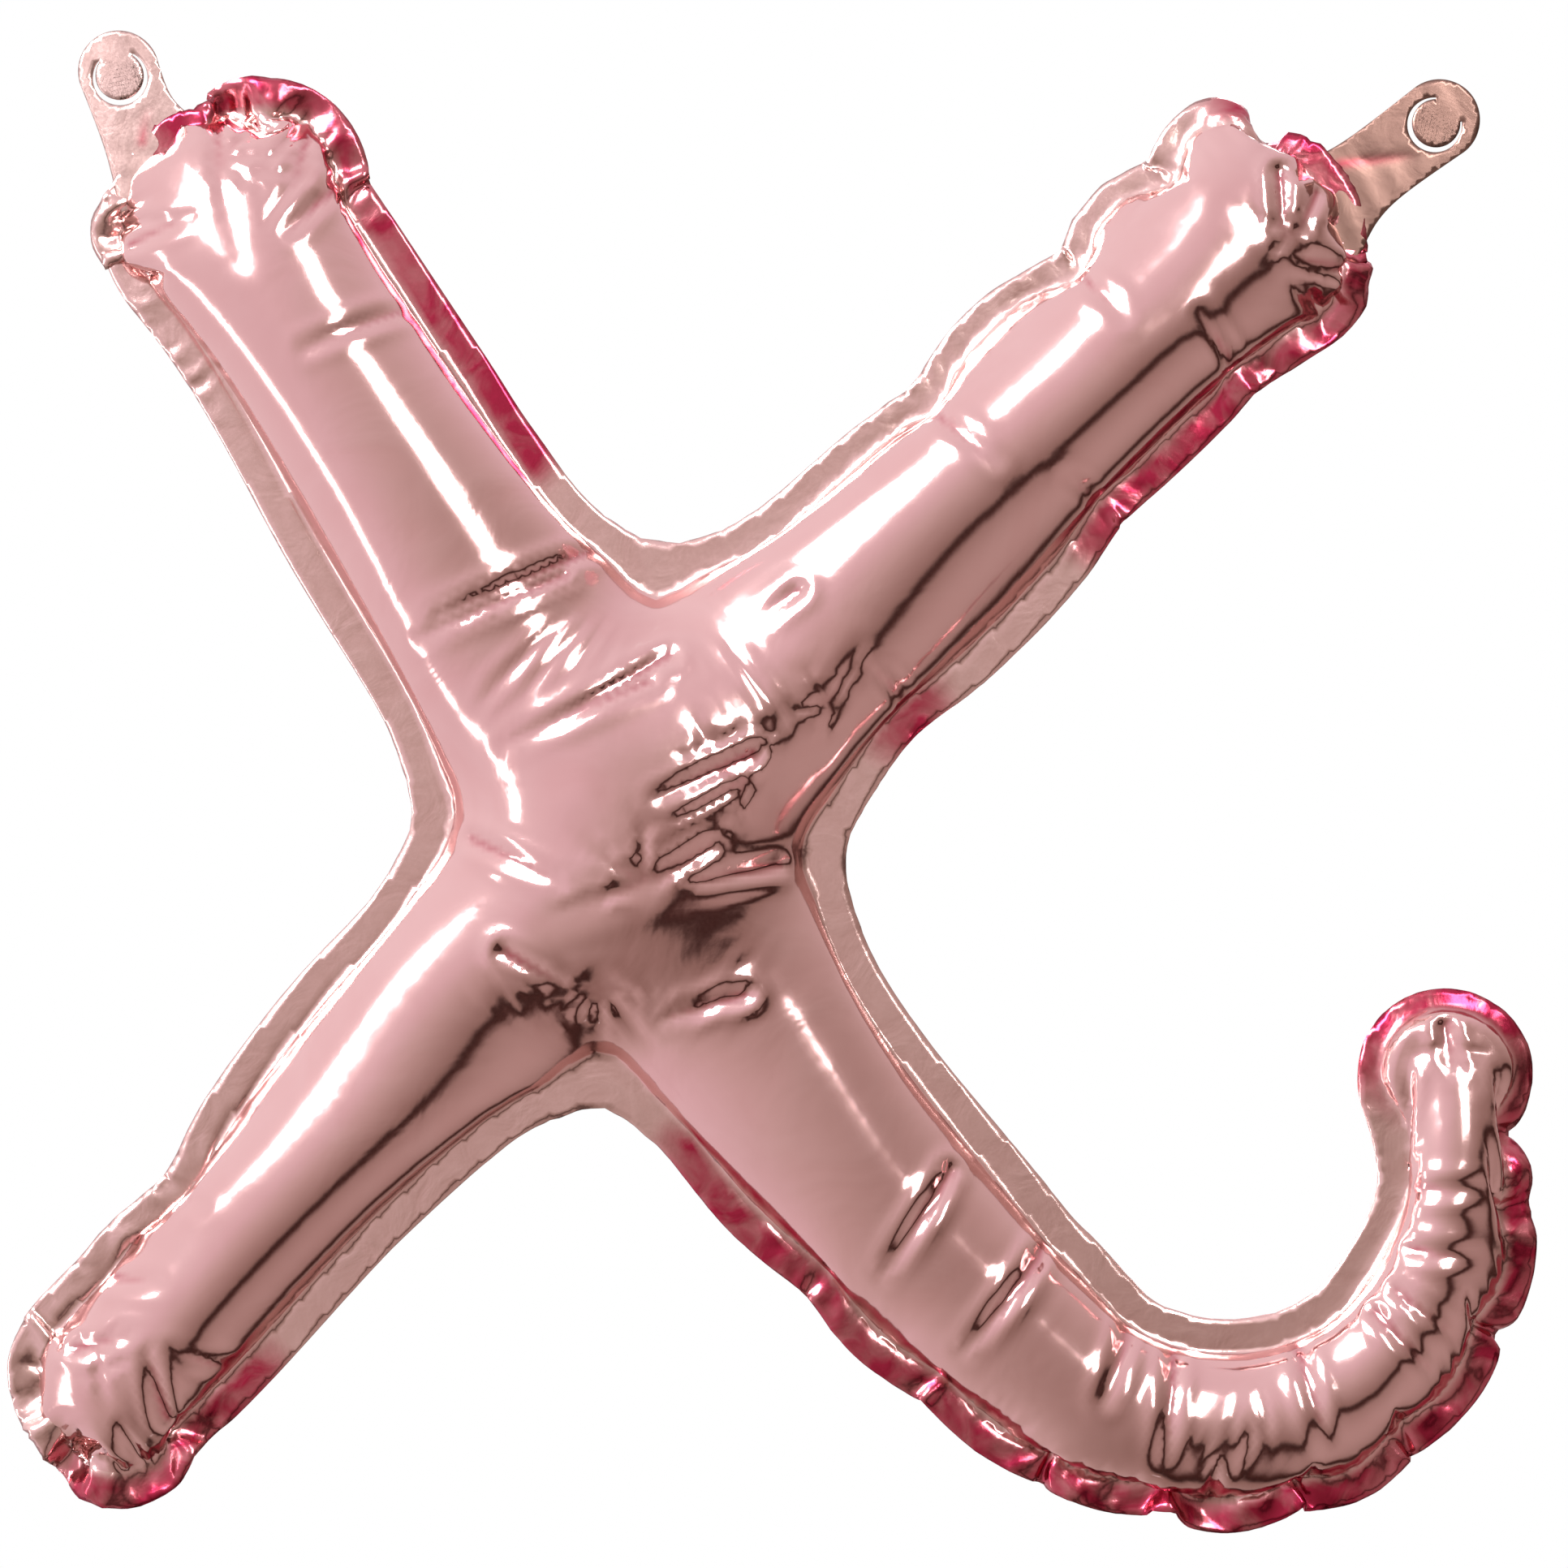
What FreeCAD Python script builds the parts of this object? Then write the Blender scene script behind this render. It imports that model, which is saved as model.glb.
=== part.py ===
"""Letter-x foil balloon, 0.36 m, filled with air: a parametric FreeCAD document of its ten pieces.

The letter lies in the XZ plane with its front towards -Y, as it hangs from the two tabs at its top.
The origin is the centre of the left tab's ribbon hole, on the seam plane between the two foil sheets.
Two foil sheets, sealed round the letter, make a front and a back panel and a flat margin. Each hang tab
bends at a fold beside the margin and has a die-cut flap that pushes out to let a ribbon through. The
filling valve is a flat sleeve of clear film, welded into the margin beside the right tab, whose two
loose films close on each other inside the letter.
"""
import FreeCAD, Part
import math
import os

import Sketcher

SIZES = {
    # letter skeleton: four strokes that leave one crossing; angles are from +X towards +Z
    "left_end_x": (27.755, "centre of the upper left arm's round end, right of the left ribbon hole"),
    "left_end_z": (-36.263, "the same centre, above the left ribbon hole"),
    "upper_left_length": (168.0, "crossing to the centre of the upper left arm's round end"),
    "upper_left_angle": (123.1, "direction of the upper left arm"),
    "upper_right_length": (202.5, "crossing to the centre of the upper right arm's round end"),
    "upper_right_angle": (43.4, "direction of the upper right arm"),
    "lower_left_length": (180.0, "crossing to the centre of the lower left arm's round end"),
    "lower_left_angle": (228.0, "direction of the lower left arm"),
    "tail_angle": (303.1, "direction in which the tail leaves the crossing"),
    "tail_run": (56.5, "straight start of the tail"),
    "sweep_radius": (375.0, "centreline radius of the tail's slow bend"),
    "sweep_turn": (16.5, "turn of the slow bend"),
    "hook_radius": (57.0, "centreline radius of the tail's hook"),
    "hook_turn": (136.0, "turn of the hook"),
    "tip_run": (17.0, "straight end of the tail"),
    # inflated tube radii, to the outside of the foil
    "hub_bulge": (1.0, "how far the ball where the strokes cross stands out past their roots"),
    "root_radius": (24.0, "each stroke where it leaves the crossing"),
    "upper_left_radius": (22.5, "upper left arm's end"),
    "upper_right_radius": (19.5, "upper right arm's end"),
    "lower_left_radius": (14.5, "lower left arm's end"),
    "tail_radius": (10.5, "tail's end"),
    # foil
    "film": (0.3, "wall of one foil sheet"),
    "margin_width": (8.6, "sealed margin outside the tubes"),
    # hang tabs
    "left_tab_angle": (102.0, "direction in which the left tab points"),
    "left_fold_reach": (12.5, "left hole centre back to the fold's middle, along the tab"),
    "left_fold_side": (1.9, "left hole centre to the fold's middle, across the tab"),
    "left_fold_skew": (24.0, "turn of the left fold from square across the tab"),
    "right_hole_side": (44.369, "right hole centre, right of the upper right arm's round end's centre"),
    "right_hole_rise": (26.765, "right hole centre, above that end's centre"),
    "right_tab_angle": (47.0, "direction in which the right tab points"),
    "right_fold_reach": (22.8, "right hole centre back to the fold's middle, along the tab"),
    "right_fold_side": (-4.6, "right hole centre to the fold's middle, across the tab"),
    "right_fold_skew": (-5.8, "turn of the right fold from square across the tab"),
    "tab_tip_radius": (9.6, "round tip of a tab"),
    "tab_tip_shift": (1.6, "tip's centre past the hole centre"),
    "fold_half": (10.6, "half length of a tab's fold"),
    "stub_depth": (13.0, "root of a tab that runs back into the margin"),
    "stub_half": (15.5, "half width of that root at its inner end"),
    "fold_gap": (0.7, "clearance between a tab and its root, centred on the fold"),
    # die-cut ribbon hole and its flap
    "hole_radius": (6.5, "outer edge of the slit"),
    "slit_width": (1.3, "slit at its widest, opposite the hinge"),
    "flap_shift": (0.5, "flap's centre moved towards its hinge, so that the slit narrows there"),
    "flap_hinge": (4.6, "hole centre to the flap's hinge line"),
    "flap_gap": (0.7, "clearance across the flap's hinge line"),
    # filling valve
    "valve_width": (14.0, "width of the sleeve and of the films"),
    "valve_seam": (1.5, "side weld that joins the sleeve's two films"),
    "valve_film": (0.1, "thickness of one valve film"),
    "valve_bore": (0.1, "flat space between the two films"),
    "valve_setback": (1.0, "tab's fold to the sleeve's mouth"),
    "valve_neck_length": (19.5, "tab's fold to the sleeve's inner end"),
    "valve_film_length": (48.0, "loose films inside the letter"),
    "valve_hinge_gap": (0.3, "clearance between the sleeve and the loose films"),
    "channel_clearance": (0.05, "sleeve to foil, over and under"),
    "channel_side_clearance": (0.3, "sleeve to foil, each side"),
    "straw_slit_length": (10.0, "slit in the right tab's back layer"),
    "straw_slit_width": (1.6, "width of that slit"),
    "straw_slit_place": (5.5, "fold to the middle of that slit"),
    "straw_channel_length": (8.0, "unsealed channel in the right tab"),
}
LEFT_WAY = "upper_left_length * %s(upper_left_angle * 1 deg)"
RIGHT_WAY = "upper_right_length * %s(upper_right_angle * 1 deg)"
CROSSING_X = "(left_end_x - " + LEFT_WAY % "cos" + ")"
CROSSING_Z = "(left_end_z - " + LEFT_WAY % "sin" + ")"
RIGHT_HOLE_X = f"({CROSSING_X} + " + RIGHT_WAY % "cos" + " + right_hole_side)"
RIGHT_HOLE_Z = f"({CROSSING_Z} + " + RIGHT_WAY % "sin" + " + right_hole_rise)"
LETTER_DEPTH = 160.0  # depth of the boxes that split front from back, deeper than any tube
LETTER_REACH = 1200.0  # side of those boxes, wider than any letter


def make_sheet(doc):
    """Writes the driving dimensions into a spreadsheet, one aliased cell each."""
    sheet = doc.addObject("Spreadsheet::Sheet", "sizes")
    for row, (alias, (value, note)) in enumerate(SIZES.items(), start=1):
        sheet.set(f"A{row}", alias)
        sheet.set(f"B{row}", str(value))
        sheet.set(f"C{row}", note)
        sheet.setAlias(f"B{row}", alias)
    doc.recompute()
    return sheet


def bind(obj, **formulas):
    """Sets expressions on properties; a double underscore stands for a dot. Bare words are sheet aliases."""
    for path, formula in formulas.items():
        words = sorted(SIZES, key=len, reverse=True)
        for index, word in enumerate(words):
            formula = formula.replace(word, f"@{index}@")
        for index, word in enumerate(words):
            formula = formula.replace(f"@{index}@", f"sizes.{word}")
        obj.setExpression(path.replace("__", "."), formula)
    return obj


def place(obj, base_x, base_z, angle):
    """Binds a placement at (x, 0, z) whose own +Z axis points along angle in the XZ plane."""
    obj.Placement.Rotation = FreeCAD.Rotation(FreeCAD.Vector(0, 1, 0), 1.0)
    return bind(
        obj,
        Placement__Base__x=base_x,
        Placement__Base__z=base_z,
        Placement__Rotation__Axis__x="0",
        Placement__Rotation__Axis__y="1",
        Placement__Rotation__Axis__z="0",
        Placement__Rotation__Angle=f"90 - {angle}",
    )


def make_ball(doc, name, radius, base_x, base_z):
    """A ball on the seam plane, its poles at the front and the back."""
    ball = doc.addObject("Part::Sphere", name)
    ball.Placement.Rotation = FreeCAD.Rotation(FreeCAD.Vector(1, 0, 0), 90)
    return bind(ball, Radius=radius, Placement__Base__x=base_x, Placement__Base__z=base_z)


def combine(doc, kind, name, base, tool):
    """Cuts tool from base (Part::Cut), joins them (Part::Fuse) or keeps their shared part (Part::Common)."""
    result = doc.addObject(kind, name)
    result.Base = base
    result.Tool = tool
    return result


def fuse(doc, name, parts):
    """Joins several solids one after the other, because the strokes' ends share a point and an axis."""
    joined = parts[0]
    for index, part in enumerate(parts[1:], start=1):
        label = name if index == len(parts) - 1 else f"{name}_join_{index}"
        joined = combine(doc, "Part::Fuse", label, joined, part)
    return joined


# ---------------------------------------------------------------- letter skeleton


def make_tail_spine(doc, sheet):
    """Centreline of the tail: straight run, slow bend, hook, straight tip, each tangent to the next."""
    spine = doc.addObject("Sketcher::SketchObject", "tail_spine")
    spine.Placement.Rotation = FreeCAD.Rotation(FreeCAD.Vector(1, 0, 0), 90)
    bind(spine, Placement__Base__x=CROSSING_X, Placement__Base__z=CROSSING_Z)
    heading = math.radians(sheet.tail_angle)
    start = FreeCAD.Vector(0, 0, 0)
    point = start + FreeCAD.Vector(math.cos(heading), math.sin(heading), 0) * sheet.tail_run
    spine.addGeometry(Part.LineSegment(start, point), False)
    for radius, turn in ((sheet.sweep_radius, sheet.sweep_turn), (sheet.hook_radius, sheet.hook_turn)):
        centre = point + FreeCAD.Vector(-math.sin(heading), math.cos(heading), 0) * radius
        first = heading - math.pi / 2
        heading += math.radians(turn)
        circle = Part.Circle(centre, FreeCAD.Vector(0, 0, 1), radius)
        spine.addGeometry(Part.ArcOfCircle(circle, first, heading - math.pi / 2), False)
        point = centre + FreeCAD.Vector(math.sin(heading), -math.cos(heading), 0) * radius
    end = point + FreeCAD.Vector(math.cos(heading), math.sin(heading), 0) * sheet.tip_run
    spine.addGeometry(Part.LineSegment(point, end), False)
    spine.addConstraint([
        Sketcher.Constraint("Coincident", 0, 1, -1, 1),
        Sketcher.Constraint("Tangent", 0, 2, 1, 1),
        Sketcher.Constraint("Tangent", 1, 2, 2, 1),
        Sketcher.Constraint("Tangent", 2, 2, 3, 1),
    ])
    driven = {
        "tail_run": ("Distance", 0, sheet.tail_run),
        "sweep_radius": ("Radius", 1, sheet.sweep_radius),
        "sweep_turn": ("Angle", 1, math.radians(sheet.sweep_turn)),
        "hook_radius": ("Radius", 2, sheet.hook_radius),
        "hook_turn": ("Angle", 2, math.radians(sheet.hook_turn)),
        "tip_run": ("Distance", 3, sheet.tip_run),
        "tail_angle": ("Angle", 0, math.radians(sheet.tail_angle - 360)),
    }
    for alias, (kind, geometry, value) in driven.items():
        index = spine.addConstraint(Sketcher.Constraint(kind, geometry, value))
        spine.renameConstraint(index, alias)
        formula = "tail_angle - 360" if alias == "tail_angle" else alias
        bind(spine, **{f"Constraints__{alias}": formula})
    return spine


def make_arm(doc, name, arm, allowance):
    """A straight tapered tube with a round end, from the crossing; allowance is added to its radii."""
    tube = doc.addObject("Part::Cone", f"{name}_{arm}_tube")
    bind(
        tube,
        Radius1=f"root_radius + {allowance}",
        Radius2=f"{arm}_radius + {allowance}",
        Height=f"{arm}_length",
    )
    place(tube, CROSSING_X, CROSSING_Z, f"{arm}_angle")
    reach = f"{arm}_length * %s({arm}_angle * 1 deg)"
    end_x, end_z = f"{CROSSING_X} + " + reach % "cos", f"{CROSSING_Z} + " + reach % "sin"
    end = make_ball(doc, f"{name}_{arm}_end", f"{arm}_radius + {allowance}", end_x, end_z)
    return [tube, end]


def make_tail(doc, name, spine, allowance):
    """The tapered tube along the tail's spine, with its round end."""
    sections = []
    for label, edge, share, radius in (
        ("start", "Edge1", 0.0, "root_radius"),
        ("finish", "Edge4", 1.0, "tail_radius"),
    ):
        section = doc.addObject("Part::Circle", f"{name}_tail_{label}")
        section.AttachmentSupport = [(spine, edge)]
        section.MapMode = "NormalToEdge"
        section.MapPathParameter = share
        bind(section, Radius=f"{radius} + {allowance}")
        sections.append(section)
    tube = doc.addObject("Part::Sweep", f"{name}_tail_tube")
    tube.Sections = sections
    tube.Spine = (spine, ["Edge1", "Edge2", "Edge3", "Edge4"])
    tube.Solid = True
    end = make_ball(doc, f"{name}_tail_end", f"tail_radius + {allowance}", *tail_tip())
    return [tube, end]


def tail_tip():
    """Formulas of the tail's tip: each run and each bend's chord, added along its own direction."""
    sweep, hook = "(tail_angle + sweep_turn / 2)", "(tail_angle + sweep_turn + hook_turn / 2)"
    steps = (
        ("tail_run", "tail_angle"),
        ("2 * sweep_radius * sin(sweep_turn / 2 * 1 deg)", sweep),
        ("2 * hook_radius * sin(hook_turn / 2 * 1 deg)", hook),
        ("tip_run", "(tail_angle + sweep_turn + hook_turn)"),
    )
    x_sum = "".join(f" + {length} * cos({angle} * 1 deg)" for length, angle in steps)
    z_sum = "".join(f" + {length} * sin({angle} * 1 deg)" for length, angle in steps)
    return CROSSING_X + x_sum, CROSSING_Z + z_sum


def make_letter(doc, name, spine, allowance):
    """The whole letter as one round-limbed solid, its radii changed by allowance."""
    parts = [make_ball(doc, f"{name}_hub", f"root_radius + hub_bulge + {allowance}", CROSSING_X, CROSSING_Z)]
    for arm in ("upper_left", "upper_right", "lower_left"):
        parts += make_arm(doc, name, arm, allowance)
    parts += make_tail(doc, name, spine, allowance)
    return fuse(doc, name, parts)


def make_block(doc, name, low_y, depth):
    """A block that covers the whole letter in X and Z, and y from low_y for depth."""
    block = doc.addObject("Part::Box", name)
    block.Length = LETTER_REACH
    block.Height = LETTER_REACH
    bind(
        block,
        Width=depth,
        Placement__Base__x=f"{CROSSING_X} - {LETTER_REACH / 2}",
        Placement__Base__y=low_y,
        Placement__Base__z=f"{CROSSING_Z} - {LETTER_REACH / 2}",
    )
    return block


# ---------------------------------------------------------------- sketch helpers for the flat pieces


def body_sketch(body, name):
    """A sketch on the body's own XZ plane: its x is the body's +X and its y the body's +Z."""
    plane = next(f for f in body.Origin.OriginFeatures if f.Role == "XZ_Plane")
    sketch = body.newObject("Sketcher::SketchObject", name)
    sketch.AttachmentSupport = [(plane, "")]
    sketch.MapMode = "FlatFace"
    return sketch


def drive(sketch, name, constraint, formula):
    """Adds a named constraint whose value follows a formula of the sheet's cells."""
    index = sketch.addConstraint(constraint)
    sketch.renameConstraint(index, name)
    bind(sketch, **{f"Constraints__{name}": formula})


def sketch_trapezoid(sketch, half_low, half_high, low, high, middle="0"):
    """Four sides symmetric about x = middle, from low to high; each size is a formula."""
    corners = [(-9.0, -9.0), (9.0, -9.0), (8.0, 9.0), (-8.0, 9.0)]
    first = sketch.GeometryCount
    for here, there in zip(corners, corners[1:] + corners[:1]):
        sketch.addGeometry(Part.LineSegment(FreeCAD.Vector(*here, 0), FreeCAD.Vector(*there, 0)), False)
    for side in range(4):
        following = first + (side + 1) % 4
        sketch.addConstraint(Sketcher.Constraint("Coincident", first + side, 2, following, 1))
    sketch.addConstraint(Sketcher.Constraint("Horizontal", first))
    sketch.addConstraint(Sketcher.Constraint("Horizontal", first + 2))
    tag = f"side{first}"
    x_rules = (
        ("low_left", 0, f"{middle} - ({half_low})"),
        ("low_right", 1, f"{middle} + {half_low}"),
        ("high_right", 2, f"{middle} + {half_high}"),
        ("high_left", 3, f"{middle} - ({half_high})"),
    )
    for word, corner, formula in x_rules:
        now = corners[corner][0]
        drive(sketch, tag + word, Sketcher.Constraint("DistanceX", -1, 1, first + corner, 1, now), formula)
    for word, corner, formula in (("low", 0, low), ("high", 2, high)):
        now = corners[corner][1]
        drive(sketch, tag + word, Sketcher.Constraint("DistanceY", -1, 1, first + corner, 1, now), formula)


def sketch_round_with_flat(sketch, radius, centre, flat, values):
    """A circle about (0, centre), cut off straight at y = flat; values are the three sizes now."""
    now_radius, now_centre, now_flat = values
    half = math.sqrt(now_radius**2 - (now_flat - now_centre) ** 2)
    angle = math.atan2(now_flat - now_centre, half)
    circle = Part.Circle(FreeCAD.Vector(0, now_centre, 0), FreeCAD.Vector(0, 0, 1), now_radius)
    arc = sketch.addGeometry(Part.ArcOfCircle(circle, math.pi - angle, 2 * math.pi + angle), False)
    ends = FreeCAD.Vector(half, now_flat, 0), FreeCAD.Vector(-half, now_flat, 0)
    chord = sketch.addGeometry(Part.LineSegment(*ends), False)
    sketch.addConstraint([
        Sketcher.Constraint("Coincident", arc, 2, chord, 1),
        Sketcher.Constraint("Coincident", chord, 2, arc, 1),
        Sketcher.Constraint("Horizontal", chord),
        Sketcher.Constraint("PointOnObject", arc, 3, -2),
    ])
    tag = f"c{arc}"
    drive(sketch, tag + "radius", Sketcher.Constraint("Radius", arc, now_radius), radius)
    drive(sketch, tag + "centre", Sketcher.Constraint("DistanceY", -1, 1, arc, 3, now_centre), centre)
    drive(sketch, tag + "flat", Sketcher.Constraint("DistanceY", -1, 1, chord, 1, now_flat), flat)


def pad_both_ways(body, sketch, name, thickness):
    """Pads a sketch by thickness in all, centred on the sketch's plane."""
    pad = body.newObject("PartDesign::Pad", name)
    pad.Profile = sketch
    pad.Midplane = True
    bind(pad, Length=thickness)
    return pad


def pocket_both_ways(body, sketch, name, depth):
    """Cuts a sketch out of the body for depth in all, centred on the sketch's plane."""
    pocket = body.newObject("PartDesign::Pocket", name)
    pocket.Profile = sketch
    pocket.Midplane = True
    bind(pocket, Length=depth)
    return pocket


# ---------------------------------------------------------------- panels and margin


def make_panels(doc, sheet):
    """The front and back panels, which are half-tube shells, and the flat sealed margin between them."""
    spine = make_tail_spine(doc, sheet)
    outside = make_letter(doc, "outside", spine, "0")
    cavity = make_letter(doc, "cavity", spine, "0 - film")
    outline = make_letter(doc, "outline", spine, "margin_width")
    front_half = make_block(doc, "front_half", f"-({LETTER_DEPTH} + film)", f"{LETTER_DEPTH}")
    back_half = make_block(doc, "back_half", "film", f"{LETTER_DEPTH}")
    seam_slab = make_block(doc, "seam_slab", "-film", "2 * film")
    shell = combine(doc, "Part::Cut", "letter_shell", outside, cavity)
    front = combine(doc, "Part::Common", "front_panel", shell, front_half)
    back = combine(doc, "Part::Common", "back_panel", shell, back_half)
    flat = combine(doc, "Part::Common", "letter_flat", outline, seam_slab)
    stubs = [make_stub(doc, "left"), make_stub(doc, "right")]
    rooted = fuse(doc, "flat_with_tab_roots", [flat] + stubs)
    opened = combine(doc, "Part::Cut", "margin_ring", rooted, cavity)
    tools = [make_tab_clearance(doc, "left"), make_tab_clearance(doc, "right"), make_valve_channel(doc)]
    margin = combine(doc, "Part::Cut", "sealed_margin", opened, fuse(doc, "margin_cuts", tools))
    return [front, back, margin]


def tab_place(body, side):
    """Places a body at a tab's hole centre, with its own +Z towards the tab's tip."""
    if side == "left":
        return place(body, "0", "0", "left_tab_angle")
    return place(body, RIGHT_HOLE_X, RIGHT_HOLE_Z, "right_tab_angle")


def fold_place(body, side):
    """Places a body at the middle of a tab's fold, with its own +Z square to the fold, towards the tab."""
    hole_x, hole_z = ("0", "0") if side == "left" else (RIGHT_HOLE_X, RIGHT_HOLE_Z)
    turn = f"({side}_tab_angle * 1 deg)"
    return place(
        body,
        f"{hole_x} + {side}_fold_side * sin{turn} - {side}_fold_reach * cos{turn}",
        f"{hole_z} - {side}_fold_side * cos{turn} - {side}_fold_reach * sin{turn}",
        f"({side}_tab_angle + {side}_fold_skew)",
    )


def make_stub(doc, side):
    """The flared root of a tab, from its fold back into the margin."""
    body = doc.addObject("PartDesign::Body", f"{side}_tab_root")
    sketch = body_sketch(body, f"{side}_tab_root_outline")
    sketch_trapezoid(sketch, "stub_half", "fold_half", "-stub_depth - fold_gap / 2", "-fold_gap / 2")
    pad_both_ways(body, sketch, f"{side}_tab_root_pad", "2 * film")
    return fold_place(body, side)


def make_tab_clearance(doc, side):
    """The space beyond a tab's fold, cut from the margin beside it."""
    body = doc.addObject("PartDesign::Body", f"{side}_tab_space")
    sketch = body_sketch(body, f"{side}_tab_space_outline")
    half = "fold_half + margin_width"
    sketch_trapezoid(sketch, half, half, "-fold_gap / 2", "tab_tip_radius * 2")
    pad_both_ways(body, sketch, f"{side}_tab_space_pad", "4 * film")
    return fold_place(body, side)


# ---------------------------------------------------------------- hang tabs


def sketch_tab_outline(sketch, side, sheet):
    """A straight root along the fold, two sides and a round tip that the sides run into."""
    skew = math.radians(getattr(sheet, f"{side}_fold_skew"))
    along = FreeCAD.Vector(math.cos(skew), math.sin(skew), 0) * sheet.fold_half
    middle = FreeCAD.Vector(getattr(sheet, f"{side}_fold_side"), -getattr(sheet, f"{side}_fold_reach"), 0)
    middle += FreeCAD.Vector(-math.sin(skew), math.cos(skew), 0) * (sheet.fold_gap / 2)
    centre = FreeCAD.Vector(0, sheet.tab_tip_shift, 0)
    touches = []
    for corner, hand in ((middle + along, 1), (middle - along, -1)):
        out = corner - centre
        swing = math.acos(sheet.tab_tip_radius / out.Length)
        turn = math.atan2(out.y, out.x) + hand * swing
        radial = FreeCAD.Vector(math.cos(turn), math.sin(turn), 0) * sheet.tab_tip_radius
        touches.append((turn, centre + radial))
    (right_turn, right), (left_turn, left) = touches
    left_turn += 2 * math.pi if left_turn < right_turn else 0
    circle = Part.Circle(centre, FreeCAD.Vector(0, 0, 1), sheet.tab_tip_radius)
    sketch.addGeometry(Part.ArcOfCircle(circle, right_turn, left_turn), False)
    sketch.addGeometry(Part.LineSegment(left, middle - along), False)
    sketch.addGeometry(Part.LineSegment(middle - along, middle + along), False)
    sketch.addGeometry(Part.LineSegment(middle + along, right), False)
    sketch.addConstraint([
        Sketcher.Constraint("Tangent", 0, 2, 1, 1),
        Sketcher.Constraint("Coincident", 1, 2, 2, 1),
        Sketcher.Constraint("Coincident", 2, 2, 3, 1),
        Sketcher.Constraint("Tangent", 3, 2, 0, 1),
        Sketcher.Constraint("PointOnObject", 0, 3, -2),
    ])
    drive(sketch, "tip_radius", Sketcher.Constraint("Radius", 0, sheet.tab_tip_radius), "tab_tip_radius")
    drive(sketch, "tip_centre", Sketcher.Constraint("DistanceY", -1, 1, 0, 3, centre.y), "tab_tip_shift")
    cos, sin = f"cos({side}_fold_skew * 1 deg)", f"sin({side}_fold_skew * 1 deg)"
    for word, hand, point in (("left", "-", middle - along), ("right", "+", middle + along)):
        end = 1 if word == "left" else 2
        x_rule = f"{side}_fold_side {hand} fold_half * {cos} - fold_gap / 2 * {sin}"
        y_rule = f"-{side}_fold_reach {hand} fold_half * {sin} + fold_gap / 2 * {cos}"
        drive(sketch, f"root_{word}_x", Sketcher.Constraint("DistanceX", -1, 1, 2, end, point.x), x_rule)
        drive(sketch, f"root_{word}_y", Sketcher.Constraint("DistanceY", -1, 1, 2, end, point.y), y_rule)


def make_tab(doc, side, sheet):
    """A hang tab: two foil layers welded flat, with the die-cut hole for the ribbon."""
    body = doc.addObject("PartDesign::Body", f"{side}_hang_tab")
    outline = body_sketch(body, f"{side}_tab_outline")
    sketch_tab_outline(outline, side, sheet)
    pad_both_ways(body, outline, f"{side}_tab_pad", "2 * film")
    hole = body_sketch(body, f"{side}_tab_hole")
    flat = sheet.flap_hinge + sheet.flap_gap
    sketch_round_with_flat(hole, "hole_radius", "0", "flap_hinge + flap_gap", (sheet.hole_radius, 0.0, flat))
    pocket_both_ways(body, hole, f"{side}_tab_hole_cut", "4 * film")
    if side == "right":
        cut_straw_way(body)
    return tab_place(body, side)


def cut_straw_way(body):
    """In the right tab, the unsealed way from the fold and the slit that lets a straw in from behind."""
    middle = "right_fold_side"
    way = body_sketch(body, "straw_way_outline")
    half = "valve_width / 2"
    inner = "-right_fold_reach - valve_width"
    sketch_trapezoid(way, half, half, inner, "straw_channel_length - right_fold_reach", middle)
    pocket_both_ways(body, way, "straw_way_cut", "2 * valve_film + valve_bore + 2 * channel_clearance")
    slit = body_sketch(body, "straw_slit_outline")
    half = "straw_slit_length / 2"
    low = "straw_slit_place - straw_slit_width / 2 - right_fold_reach"
    sketch_trapezoid(slit, half, half, low, f"{low} + straw_slit_width", middle)
    cut = body.newObject("PartDesign::Pocket", "straw_slit_cut")
    cut.Profile = slit
    cut.Reversed = False
    bind(cut, Length="2 * film")
    return cut


def make_flap(doc, side, sheet):
    """The flap that the die leaves in the hole, hinged on its straight edge towards the tip."""
    body = doc.addObject("PartDesign::Body", f"{side}_tab_flap")
    outline = body_sketch(body, f"{side}_flap_outline")
    rule = "hole_radius - slit_width + flap_shift"
    radius = sheet.hole_radius - sheet.slit_width + sheet.flap_shift
    values = (radius, sheet.flap_shift, sheet.flap_hinge)
    sketch_round_with_flat(outline, rule, "flap_shift", "flap_hinge", values)
    pad_both_ways(body, outline, f"{side}_flap_pad", "2 * film")
    return tab_place(body, side)


# ---------------------------------------------------------------- filling valve


def make_valve_channel(doc):
    """The unsealed way through the margin that the sleeve is welded into, as far as the fold."""
    body = doc.addObject("PartDesign::Body", "valve_channel")
    sketch = body_sketch(body, "valve_channel_outline")
    half = "valve_width / 2 + channel_side_clearance"
    sketch_trapezoid(sketch, half, half, "-valve_neck_length", "valve_setback")
    pad_both_ways(body, sketch, "valve_channel_pad", "2 * valve_film + valve_bore + 2 * channel_clearance")
    return fold_place(body, "right")


def make_valve_neck(doc):
    """The sleeve: two films joined by side welds, with the flat bore between them."""
    body = doc.addObject("PartDesign::Body", "valve_neck")
    sketch = body_sketch(body, "valve_neck_outline")
    sketch_trapezoid(sketch, "valve_width / 2", "valve_width / 2", "-valve_neck_length", "-valve_setback")
    pad_both_ways(body, sketch, "valve_neck_pad", "2 * valve_film + valve_bore")
    bore = body_sketch(body, "valve_bore_outline")
    half = "valve_width / 2 - valve_seam"
    sketch_trapezoid(bore, half, half, "-valve_neck_length - 1", "1 - valve_setback")
    pocket_both_ways(body, bore, "valve_bore_cut", "valve_bore")
    return fold_place(body, "right")


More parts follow.
